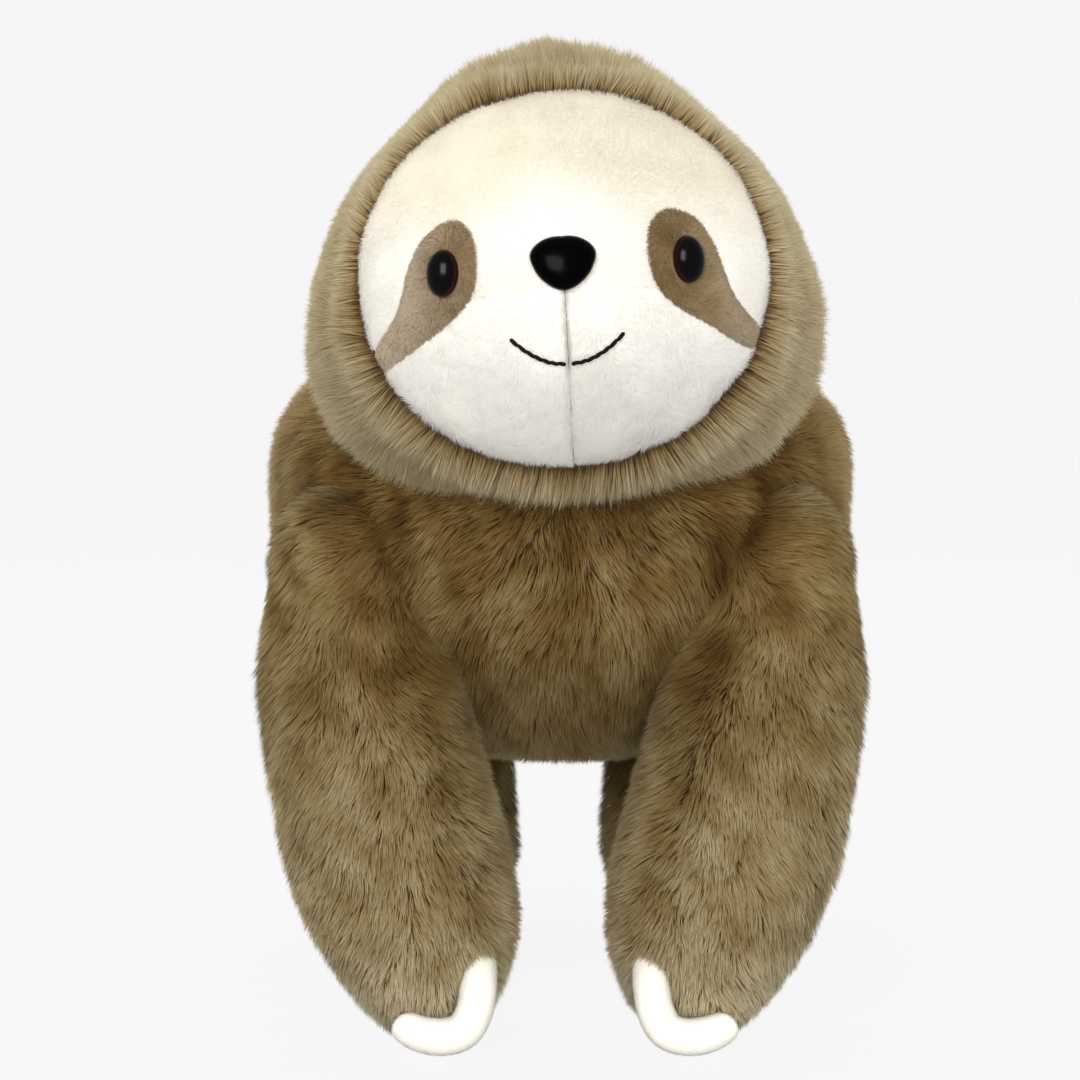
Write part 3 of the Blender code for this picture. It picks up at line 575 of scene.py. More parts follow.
def add_node(
    tree: NodeTree,
    kind: str,
    inputs: dict[str | int, object] | None = None,
    stops: dict[float, str] | None = None,
    **settings: object,
) -> Node:
    """Adds one node with its settings and links.

    Args:
        tree: The node tree.
        kind: The node's type.
        inputs: Input names or numbers, each with a value or an output socket.
        stops: A colour ramp's places from 0 to 1 with their sRGB hex values.
        **settings: The node's own properties.

    Returns:
        The node.
    """
    made = tree.nodes.new(kind)
    for name, value in settings.items():
        setattr(made, name, value)
    for name, value in (inputs or {}).items():
        if isinstance(value, NodeSocket):
            tree.links.new(value, made.inputs[name])
        else:
            made.inputs[name].default_value = value
    if stops:
        band = made.color_ramp
        while len(band.elements) < len(stops):
            band.elements.new(0.5)
        for element, (place, colour) in zip(band.elements, sorted(stops.items())):
            element.position, element.color = place, linear(colour)
    return made





@dataclass(frozen=True)
class Finish:
    """The finish of a real material, named for it."""

    name: str

    def shader(self, tree: NodeTree) -> Node:
        """Adds the finish's nodes and gives the last of them."""
        raise NotImplementedError

    def make(self) -> Material:
        """Builds the material.

        Returns:
            The material, with its output linked.
        """
        made = bpy.data.materials.new(self.name)
        made.use_nodes = True
        tree = made.node_tree
        tree.nodes.clear()
        add_node(tree, "ShaderNodeOutputMaterial", {"Surface": self.shader(tree).outputs[0]})
        return made


@dataclass(frozen=True)
class PileFinish(Finish):
    """Dyed polyester pile: each strand is darker at its root than at its tip.

    The attribute named reach runs from root to tip, and the one named tone
    carries what differs from strand to strand: its dye, and the painted shade
    and light of the place where it grows.
    """

    stops: dict[float, str]
    roughness: float = 0.8
    sheen: float = 0.3
    sheen_roughness: float = 0.45
    sheen_tint: str = "#ffffff"
    specular: float = 0.2

    def shader(self, tree: NodeTree) -> Node:
        """Adds the pile's nodes.

        Args:
            tree: The material's node tree.

        Returns:
            The shader.
        """
        reach = add_node(tree, "ShaderNodeAttribute", attribute_name="reach")
        tone = add_node(tree, "ShaderNodeAttribute", attribute_name="tone")
        colour = add_node(tree, "ShaderNodeValToRGB", {"Fac": reach.outputs["Fac"]}, self.stops)
        grade = add_node(
            tree,
            "ShaderNodeMix",
            {0: 1.0, 6: colour.outputs["Color"], 7: tone.outputs["Color"]},
            data_type="RGBA",
            blend_type="MULTIPLY",
        )
        return add_node(
            tree,
            "ShaderNodeBsdfPrincipled",
            {
                "Base Color": grade.outputs[2],
                "Roughness": self.roughness,
                "Specular IOR Level": self.specular,
                "Sheen Weight": self.sheen,
                "Sheen Roughness": self.sheen_roughness,
                "Sheen Tint": linear(self.sheen_tint),
            },
        )


@dataclass(frozen=True)
class ClothFinish(Finish):
    """Knitted backing or flat cloth, with a fine uneven dye and knit bumps.

    The grain is the size of a stitch. The dye's patches are about 22 mm wide.
    """

    dark: str
    light: str
    grain: float = 1.2 * MM
    bump: float = 0.25
    roughness: float = 0.92
    sheen: float = 0.2
    specular: float = 0.2
    patches: float = 45.0

    def shader(self, tree: NodeTree) -> Node:
        """Adds the cloth's nodes.

        Args:
            tree: The material's node tree.

        Returns:
            The shader.
        """
        where = add_node(tree, "ShaderNodeTexCoord").outputs["Object"]
        cloud = add_node(
            tree, "ShaderNodeTexNoise", {"Vector": where, "Scale": self.patches, "Detail": 3.0}
        )
        dye = {0.3: self.dark, 0.7: self.light}
        colour = add_node(tree, "ShaderNodeValToRGB", {"Fac": cloud.outputs["Fac"]}, dye)
        knit = add_node(
            tree, "ShaderNodeTexNoise", {"Vector": where, "Scale": 1 / self.grain, "Detail": 2.0}
        )
        bump = add_node(
            tree,
            "ShaderNodeBump",
            {"Height": knit.outputs["Fac"], "Strength": self.bump, "Distance": self.grain / 4},
        )
        return add_node(
            tree,
            "ShaderNodeBsdfPrincipled",
            {
                "Base Color": colour.outputs["Color"],
                "Normal": bump.outputs["Normal"],
                "Roughness": self.roughness,
                "Specular IOR Level": self.specular,
                "Sheen Weight": self.sheen,
            },
        )


@dataclass(frozen=True)
class GlossFinish(Finish):
    """Injection-moulded acrylic, polished: near black, with a clear dark brown rim.

    The attribute named rim runs from 0 in the middle to 1 at the edge. Wear in
    patches of about 4 mm dulls the polish a little.
    """

    middle: str
    rim: str
    rim_start: float
    roughness: float
    specular: float
    rim_width: float = 0.12
    wear: float = 0.07
    wear_patches: float = 260.0
    ior: float = 1.3

    def shader(self, tree: NodeTree) -> Node:
        """Adds the acrylic's nodes.

        Args:
            tree: The material's node tree.

        Returns:
            The shader.
        """
        edge = add_node(tree, "ShaderNodeAttribute", attribute_name="rim")
        rim_end = min(self.rim_start + self.rim_width, 1.0)
        dye = {0.0: self.middle, self.rim_start: self.middle, rim_end: self.rim}
        colour = add_node(tree, "ShaderNodeValToRGB", {"Fac": edge.outputs["Fac"]}, dye)
        where = add_node(tree, "ShaderNodeTexCoord").outputs["Object"]
        worn = add_node(
            tree,
            "ShaderNodeTexNoise",
            {"Vector": where, "Scale": self.wear_patches, "Detail": 3.0},
        )
        rough = add_node(
            tree,
            "ShaderNodeMapRange",
            {
                "Value": worn.outputs["Fac"],
                "From Min": 0.3,
                "From Max": 0.8,
                "To Min": self.roughness,
                "To Max": self.roughness + self.wear,
            },
        )
        return add_node(
            tree,
            "ShaderNodeBsdfPrincipled",
            {
                "Base Color": colour.outputs["Color"],
                "Roughness": rough.outputs["Result"],
                "IOR": self.ior,
                "Specular IOR Level": self.specular,
            },
        )


@dataclass(frozen=True)
class PaperFinish(Finish):
    """Matt backdrop paper that glows evenly, so that it stays pale all over."""

    colour: str
    glow: float

    def shader(self, tree: NodeTree) -> Node:
        """Adds the paper's node.

        Args:
            tree: The material's node tree.

        Returns:
            The shader.
        """
        return add_node(
            tree,
            "ShaderNodeBsdfPrincipled",
            {
                "Base Color": linear(self.colour),
                "Roughness": 1.0,
                "Specular IOR Level": 0.0,
                "Emission Color": linear("#ffffff"),
                "Emission Strength": self.glow,
            },
        )


# Long taupe faux fur, as knitted for toys: brown at the roots, pale at the tips.
TAUPE_FUR = PileFinish(
    "taupe_faux_fur_pile",
    {0.0: "#33210e", 0.2: "#6a502c", 0.5: "#a08a62", 1.0: "#cbc1a2"},
    sheen_tint="#d8d0ae",
)
# Cream minky on the face: a dense nap of about 2 mm that reads as one soft surface.
# It is dyed nearly white, and the forehead's roots carry the cream tint.
CREAM_NAP = PileFinish("cream_minky_nap", {0.0: "#f8f4ea", 1.0: "#fffefa"}, sheen=0.1)
# Brown minky of the eye patches, brushed, with paler tips.
BROWN_NAP = PileFinish(
    "brown_minky_nap", {0.0: "#7a6850", 0.5: "#a69379", 1.0: "#c8b8a0"}, sheen=0.15
)
# White velboa of the claws: a nap of about 1 mm, nearly without shade.
WHITE_NAP = PileFinish("white_velboa_nap", {0.0: "#fbf7ec", 1.0: "#fffffa"}, sheen=0.1)
# Polyester knit behind each pile: it darkens what shows between the roots.
BROWN_BACKING = ClothFinish("brown_knit_backing", "#3c2c17", "#5a472b")
CREAM_BACKING = ClothFinish("cream_knit_backing", "#f3ead7", "#f8f1e1")
# The muzzle's knit is darker than the forehead's: painted shade between the nap's roots and in the
# middle seam.
SHADED_MUZZLE_BACKING = ClothFinish("shaded_cream_knit_backing", "#e2dac9", "#eae3d3")
PATCH_BACKING = ClothFinish("tan_knit_backing", "#7a654e", "#8f785f")
WHITE_BACKING = ClothFinish("white_velboa_backing", "#fbf6e8", "#fffcf2")
# Matt black cotton thread, with a twist of 0.5 mm that breaks its edge.
THREAD = ClothFinish(
    "black_embroidery_thread",
    "#050404",
    "#0b0909",
    grain=0.5 * MM,
    bump=0.8,
    roughness=0.7,
    sheen=0.0,
)
# Polished acrylic of the eyes: black, with a brown rim and one clear highlight.
EYE_GLOSS = GlossFinish(
    "polished_brown_acrylic", "#020101", "#26100a", rim_start=0.9, roughness=0.17, specular=0.4
)
# Polished acrylic of the nose: black all over, with a broad faint highlight.
NOSE_GLOSS = GlossFinish(
    "polished_black_acrylic", "#010101", "#020202", rim_start=0.8, roughness=0.2, specular=0.11
)
# Satin polypropylene of the washers, with a mould grain of 0.6 mm.
WASHER_PLASTIC = ClothFinish(
    "white_moulded_polypropylene", "#cfcfcf", "#dadada", grain=0.6 * MM, bump=0.05, roughness=0.45
)
# White seamless paper, so pale that only soft shade separates floor and wall.
BACKDROP_PAPER = PaperFinish("matt_white_backdrop_paper", "#343434", glow=0.90)


# Mesh work


SEAM_MERGE = 0.02 * MM


def deselect() -> None:
    bpy.ops.object.select_all(action="DESELECT")


def edit_whole(operator: Callable[..., object], **options: float | bool) -> None:
    """Runs an edit-mode operator on the whole of the active mesh.

    Args:
        operator: The operator.
        **options: What it is given.
    """
    bpy.ops.object.mode_set(mode="EDIT")
    bpy.ops.mesh.select_all(action="SELECT")
    operator(**options)
    bpy.ops.object.mode_set(mode="OBJECT")


def face_outwards() -> None:
    """Turns the faces of the active mesh outwards."""
    edit_whole(bpy.ops.mesh.normals_make_consistent, inside=False)


def unit_sphere(segments: int, rings: int) -> Object:
    """A sphere of radius 1, to be shaped.

    Blender puts a new sphere's faces in another order in each run. They are sorted
    here, so that the same draws fall on the same faces each time.

    Args:
        segments: Faces round.
        rings: Faces from pole to pole.

    Returns:
        The new object.
    """
    deselect()
    bpy.ops.mesh.primitive_uv_sphere_add(segments=segments, ring_count=rings, radius=1)
    made = bpy.context.object
    spots, faces = read_points(made), []
    for face in made.data.polygons:
        corners = list(face.vertices)
        first = corners.index(min(corners))
        faces.append(corners[first:] + corners[:first])
    made.data.clear_geometry()
    made.data.from_pydata(spots, [], sorted(faces))
    return made


def unit_grid(columns: int, rows: int) -> Object:
    """A flat grid with sides of 1, to be shaped.

    Args:
        columns: Faces one way.
        rows: Faces the other way.

    Returns:
        The new object.
    """
    deselect()
    bpy.ops.mesh.primitive_grid_add(x_subdivisions=columns, y_subdivisions=rows, size=1)
    return bpy.context.object


def read_rows(made: Object, name: str) -> Array:
    """Reads a vector of each vertex.

    Args:
        made: The object.
        name: Blender's name for it: co or normal.

    Returns:
        One row for each vertex.
    """
    rows = np.empty(len(made.data.vertices) * 3, np.float32)
    made.data.vertices.foreach_get(name, rows)
    return rows.reshape(-1, 3).astype(float)


def read_points(made: Object) -> Array:
    """The mesh's vertices, one row each."""
    return read_rows(made, "co")


def write_points(made: Object, co: Array) -> None:
    """Puts the mesh's vertices at new places."""
    made.data.vertices.foreach_set("co", co.astype(np.float32).ravel())
    made.data.update()


def read_normals(made: Object) -> Array:
    """The mesh's vertex normals, one row each."""
    return read_rows(made, "normal")


def swell(made: Object, amounts: Array | float) -> None:
    """Moves each vertex along its normal by an amount."""
    moved = read_normals(made) * np.reshape(amounts, (-1, 1))
    write_points(made, read_points(made) + moved)


def settle(made: Object, name: str, finish: Material) -> None:
    """Names a piece, shades it smooth and gives it its finish.

    Args:
        made: The piece.
        name: Its name.
        finish: Its material.
    """
    made.name = made.data.name = name
    made.data.shade_smooth()
    made.data.materials.clear()
    made.data.materials.append(finish)


def set_attribute(made: Object, name: str, values: Array) -> None:
    """Stores a number or a row of three for each vertex.

    Args:
        made: The object.
        name: The attribute's name.
        values: One number or row for each vertex.
    """
    kind, field_name = ("FLOAT", "value") if values.ndim == 1 else ("FLOAT_VECTOR", "vector")
    attribute = made.data.attributes.new(name, kind, "POINT")
    attribute.data.foreach_set(field_name, values.astype(np.float32).ravel())


def ball_of(form: Form, segments: int, rings: int, poles_on_y: bool) -> Object:
    """A sphere whose vertices are moved onto a form.

    Args:
        form: The form that it takes.
        segments: Faces round.
        rings: Faces from pole to pole.
        poles_on_y: Whether the form's poles are on Y, and not on Z.

    Returns:
        The new object.
    """
    made = unit_sphere(segments, rings)
    co = read_points(made)
    if poles_on_y:
        co = np.stack([co[:, 0], -co[:, 2], co[:, 1]], axis=1)
    write_points(made, form.point(*form.of_sphere(co)))
    face_outwards()
    return made


def sheet_of(
    place: Callable[[Array, Array], Array], columns: int, rows: int, out_from: Array
) -> tuple[Object, Array]:
    """A grid laid over a surface, facing away from a point.

    Args:
        place: Gives points for the grid's two shares, each from 0 to 1.
        columns: Faces one way.
        rows: Faces the other way.
        out_from: The point that it faces away from.

    Returns:
        The new object, and the second share of each of its vertices.
    """
    made = unit_grid(columns, rows)
    co = read_points(made) + 0.5
    set_attribute(made, "second_share", co[:, 1])
    write_points(made, place(co[:, 0], co[:, 1]))
    outward = (read_points(made) - out_from) * read_normals(made)
    if outward.sum() < 0:
        edit_whole(bpy.ops.mesh.flip_normals)
    edit_whole(bpy.ops.mesh.remove_doubles, threshold=SEAM_MERGE)
    return made, take_attribute(made, "second_share")


def take_attribute(made: Object, name: str) -> Array:
    """Reads a stored number of each vertex and forgets it.

    Args:
        made: The object.
        name: The attribute's name.

    Returns:
        One number for each vertex.
    """
    attribute = made.data.attributes[name]
    values = np.empty(len(made.data.vertices), np.float32)
    attribute.data.foreach_get("value", values)
    made.data.attributes.remove(attribute)
    return values.astype(float)


def thicken(made: Object, depth: float) -> None:
    """Gives a sheet its thickness, inwards.

    Args:
        made: The sheet.
        depth: How thick it becomes.
    """
    deselect()
    bpy.context.view_layer.objects.active = made
    made.select_set(True)
    wall = made.modifiers.new("thickness", "SOLIDIFY")
    wall.thickness = depth
    wall.offset = -1
    bpy.ops.object.modifier_apply(modifier=wall.name)


STEEP = 0.9


def worm_of(path: Array, girth: Array, segments: int) -> Object:
    """A round body along a path: a sphere drawn out along it.

    Args:
        path: Points along its middle, evenly spaced.
        girth: Its radius at each point.
        segments: Faces round.

    Returns:
        The new object.
    """
    rings = len(path)
    made = unit_sphere(segments, rings)
    co = read_points(made)
    along = np.arccos(np.clip(co[:, 2], -1, 1)) / math.pi * (rings - 1)
    angle = np.arctan2(co[:, 1], co[:, 0])
    ways = unit(np.gradient(path, axis=0))
    across = np.empty_like(ways)
    guess = np.array([0.0, 0.0, 1.0] if abs(ways[0][2]) < STEEP else [1.0, 0.0, 0.0])
    for i, way in enumerate(ways):
        guess = guess - way * (guess @ way)
        guess /= np.linalg.norm(guess)
        across[i] = guess
    other = np.cross(ways, across)
    stations = np.arange(rings)

    def read(rows: Array) -> Array:
        """Reads rows of the path at each vertex."""
        return np.stack([np.interp(along, stations, rows[:, k]) for k in range(3)], axis=1)

    radius = np.interp(along, stations, girth)[:, None]
    ring = read(across) * np.cos(angle)[:, None] + read(other) * np.sin(angle)[:, None]
    write_points(made, read(path) + unit(ring) * radius)
    face_outwards()
    return made


# Pile


@dataclass
class Roots:
    """Where strands start, and what differs between them."""

    points: Array
    normals: Array
    spacing: float
    length: Array = field(init=False)
    upright: Array = field(init=False)
    laid: Array = field(init=False)
    tone: Array = field(init=False)
    tint: Array = field(init=False)

    def __post_init__(self) -> None:
        """Starts every strand alike."""
        self.length = np.ones(len(self.points))
        self.upright = np.zeros(len(self.points))
        self.laid = np.zeros(len(self.points))
        self.tone = np.ones(len(self.points))
        self.tint = np.ones((len(self.points), 3))

    def kept(self, keep: Array | slice) -> Roots:
        """A part of the roots.

        Args:
            keep: Which ones: true for each that stays, or a slice.

        Returns:
            The roots that stay, with all that they carry.
        """
        found = Roots(self.points[keep], self.normals[keep], self.spacing)
        for name in ("length", "upright", "laid", "tone", "tint"):
            setattr(found, name, getattr(self, name)[keep])
        return found


def scatter(made: Object, count: int, rng: np.random.Generator) -> Roots:
    """Random roots over a mesh, spread by area.

    Args:
        made: The skin that they stand on.
        count: How many.
        rng: The seeded source of chance.

    Returns:
        The roots.
    """
    mesh = made.data
    mesh.calc_loop_triangles()
    corners = np.empty(len(mesh.loop_triangles) * 3, np.int32)
    mesh.loop_triangles.foreach_get("vertices", corners)
    corners = corners.reshape(-1, 3)
    co, normals = read_points(made), read_normals(made)
    a, b, c = (co[corners[:, k]] for k in range(3))
    area = np.linalg.norm(np.cross(b - a, c - a), axis=1)
    pick = np.searchsorted(np.cumsum(area / area.sum()), rng.random(count))
    pick = np.minimum(pick, len(area) - 1)
    first, second = np.sqrt(rng.random(count)), rng.random(count)
    weights = np.stack([1 - first, first * (1 - second), first * second], axis=1)
    chosen = corners[pick]
    points = (co[chosen] * weights[:, :, None]).sum(axis=1)
    turned = (normals[chosen] * weights[:, :, None]).sum(axis=1)
    return Roots(points, unit(turned), math.sqrt(area.sum() / 2 / count))


FAINT_WARMTH = (0.0, 0.06, 0.16)


@dataclass(frozen=True)
class Pile:
    """How a pile stands: lengths in metres, angles in degrees from upright."""

    length: float
    width: float
    root_lean: float
    tip_lean: float
    tuft: float
    pull: float
    wander: float
    bends: int = 2
    ragged: float = 0.12
    frizz: float = 0.12
    lift: float = 5.0
    laid_lean: float = 66.0
    warmth: tuple[float, float, float] = (0.0, 0.34, 1.15)
    floor: float = 0.5 * MM
    big_tuft: float = 2.7
    big_pull: float = 0.55
    gather: float = 0.8
    gather_curve: float = 1.3
    twist: float = 0.85
    width_spread: Span = (0.7, 1.3)
    tone_spread: float = 0.8
    tone_limits: Span = (0.15, 1.6)

    def tufted(self, strands: Array, spacing: float, rng: np.random.Generator) -> Array:
        """Draws the strands' tips together into tufts of two sizes.

        Args:
            strands: The points of each strand.
            spacing: How far apart the strands stand.
            rng: The seeded source of chance.

        Returns:
            The strands, drawn together.
        """
        at = np.linspace(0, 1, self.bends + 1)[None, :, None]
        big = (self.tuft * self.big_tuft, self.pull * self.big_pull)
        for size, pull in ((self.tuft, self.pull), big):
            heads = max(int(len(strands) * min(spacing / size, 1) ** 2), 1)
            leaders = rng.choice(len(strands), heads, replace=False)
            tree = kdtree.KDTree(len(leaders))
            for i, spot in enumerate(strands[leaders, 0]):
                tree.insert(spot, i)
            tree.balance()
            near = [tree.find(spot)[1] for spot in strands[:, 0]]
            guide = strands[leaders[near]]
            offset = (strands[:, 0] - guide[:, 0])[:, None, :]
            target = guide + offset * (1 - self.gather * at)
            weight = pull * at**self.gather_curve
            strands = strands * (1 - weight) + target * weight
        return strands

    def grow(self, roots: Roots, comb: Comb, rng: np.random.Generator) -> Array:
        """Grows the strands.

        Args:
            roots: Where the strands start.
            comb: Gives the way in which the pile lies at points with normals.
            rng: The seeded source of chance.

        Returns:
            The points of each strand, from root to tip.
        """
        points, normals = roots.points, roots.normals
        count = len(points)
        flow = comb(points, normals)
        flow = unit(flow - normals * (flow * normals).sum(axis=1, keepdims=True))
        aside = np.cross(normals, flow)
        stray = np.radians(rng.normal(0, self.wander, count))[:, None]
        flow = flow * np.cos(stray) + aside * np.sin(stray)
        spread = rng.uniform(1 - 2 * self.ragged, 1 + self.ragged, count)
        length = self.length * roots.length * spread
        strands = np.empty((count, self.bends + 1, 3))
        strands[:, 0] = points
        lift = rng.normal(0, self.lift, count)
        for k in range(self.bends):
            at = (k + 0.5) / self.bends
            lean = self.root_lean + (self.tip_lean - self.root_lean) * at + lift
            lean = lean * (1 - roots.upright)
            lean = np.radians(lean + (self.laid_lean - lean) * roots.laid)[:, None]
            step = normals * np.cos(lean) + flow * np.sin(lean)
            strands[:, k + 1] = strands[:, k] + step * (length / self.bends)[:, None]
        if self.pull:
            strands = self.tufted(strands, roots.spacing, rng)
        strands[:, :, 2] = np.maximum(strands[:, :, 2], self.floor)
        return strands

    def cover(
        self, name: str, strands: Array, roots: Roots, finish: Material, rng: np.random.Generator
    ) -> Object:
        """Makes the strands' mesh: one flat sliver each, widest below its tip.

        Args:
            name: The piece's name.
            strands: The points of each strand.
            roots: Where they start.
            finish: Their material.
            rng: The seeded source of chance.

        Returns:
            The new object, with its reach, tone and normals.
        """
        count, wide = len(strands), self.bends - 1
        way = unit(strands[:, -1] - strands[:, wide])
        across = np.cross(way, roots.normals)
        across = unit(across)
        twist = rng.uniform(-self.twist, self.twist, count)[:, None]
        across = across * np.cos(twist) + np.cross(way, across) * np.sin(twist)
        across *= self.width / 2 * rng.uniform(*self.width_spread, count)[:, None]
        belly = np.stack([strands[:, wide] - across, strands[:, wide] + across], axis=1)
        co = np.concatenate([strands[:, :wide], belly, strands[:, -1:]], axis=1)
        per = co.shape[1]
        corners = np.array([[0, 2, 1], [1, 2, 3]] if wide else [[0, 1, 2]])
        loops = (np.arange(count)[:, None] * per + corners.ravel()[None, :]).ravel()
        mesh = bpy.data.meshes.new(name)
        mesh.vertices.add(count * per)
        mesh.vertices.foreach_set("co", co.astype(np.float32).ravel())
        mesh.loops.add(len(loops))
        mesh.loops.foreach_set("vertex_index", loops.astype(np.int32))
        mesh.polygons.add(len(loops) // 3)
        mesh.polygons.foreach_set("loop_start", np.arange(0, len(loops), 3, np.int32))
        mesh.update(calc_edges=True)
        made = bpy.data.objects.new(name, mesh)
        bpy.context.scene.collection.objects.link(made)
        at = np.arange(wide + 2) / self.bends
        set_attribute(made, "reach", np.tile(np.insert(at, wide, at[wide]), count))
        # Each strand's tone carries its dye and also the painted shade and light of its place.
        chance = rng.normal(1, self.frizz * self.tone_spread, count)
        tone = np.clip(roots.tone * chance, *self.tone_limits)
        dye = tone[:, None] * np.minimum(tone, 1)[:, None] ** np.array(self.warmth)
        dye *= roots.tint
        set_attribute(made, "tone", np.repeat(dye, per, axis=0))
        settle(made, name, finish)
        outward = unit(roots.normals + self.frizz * rng.normal(size=(count, 3)))
        mesh.normals_split_custom_set_from_vertices(np.repeat(outward, per, axis=0))
        return made


def fit(
    piece: Object, body: str, nodes: tuple[str, ...] = ()
) -> None:
    """Puts a finished piece on its body.

    Args:
        piece: The piece.
        body: The body that it moves with.
        nodes: The nodes that it stands for.
    """
    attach(piece, body)
    if nodes:
        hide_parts(*nodes)
    LOG.info("%s: %d faces on %s", piece.name, len(piece.data.polygons), body)


def plant(
    pile: Pile,
    roots: Roots,
    comb: Comb,
    finish: Material,
    rng: np.random.Generator,
    parts: dict[str, Array | slice],
    body: str,
) -> None:
    """Grows a pile as a whole, then parts it into pieces by its roots.

    Args:
        pile: How it stands.
        roots: Where it stands.
        comb: How it lies.
        finish: Its material.
        rng: The seeded source of chance.
        parts: The pieces' names, each with its choice of roots.
        body: The body that it moves with.
    """
    strands = pile.grow(roots, comb, rng)
    for name, chosen in parts.items():
        piece = pile.cover(name, strands[chosen], roots.kept(chosen), finish, rng)
        fit(piece, body)


# Sub-assemblies


@dataclass
class Coat:
    """The materials, each made once."""

    fur: Material = field(default_factory=TAUPE_FUR.make)
    cream: Material = field(default_factory=CREAM_NAP.make)
    brown: Material = field(default_factory=BROWN_NAP.make)
    white: Material = field(default_factory=WHITE_NAP.make)
    fur_backing: Material = field(default_factory=BROWN_BACKING.make)
    cream_backing: Material = field(default_factory=CREAM_BACKING.make)
    shaded_muzzle_backing: Material = field(default_factory=SHADED_MUZZLE_BACKING.make)
    patch_backing: Material = field(default_factory=PATCH_BACKING.make)
    white_backing: Material = field(default_factory=WHITE_BACKING.make)
    thread: Material = field(default_factory=THREAD.make)
    eye: Material = field(default_factory=EYE_GLOSS.make)
    nose: Material = field(default_factory=NOSE_GLOSS.make)


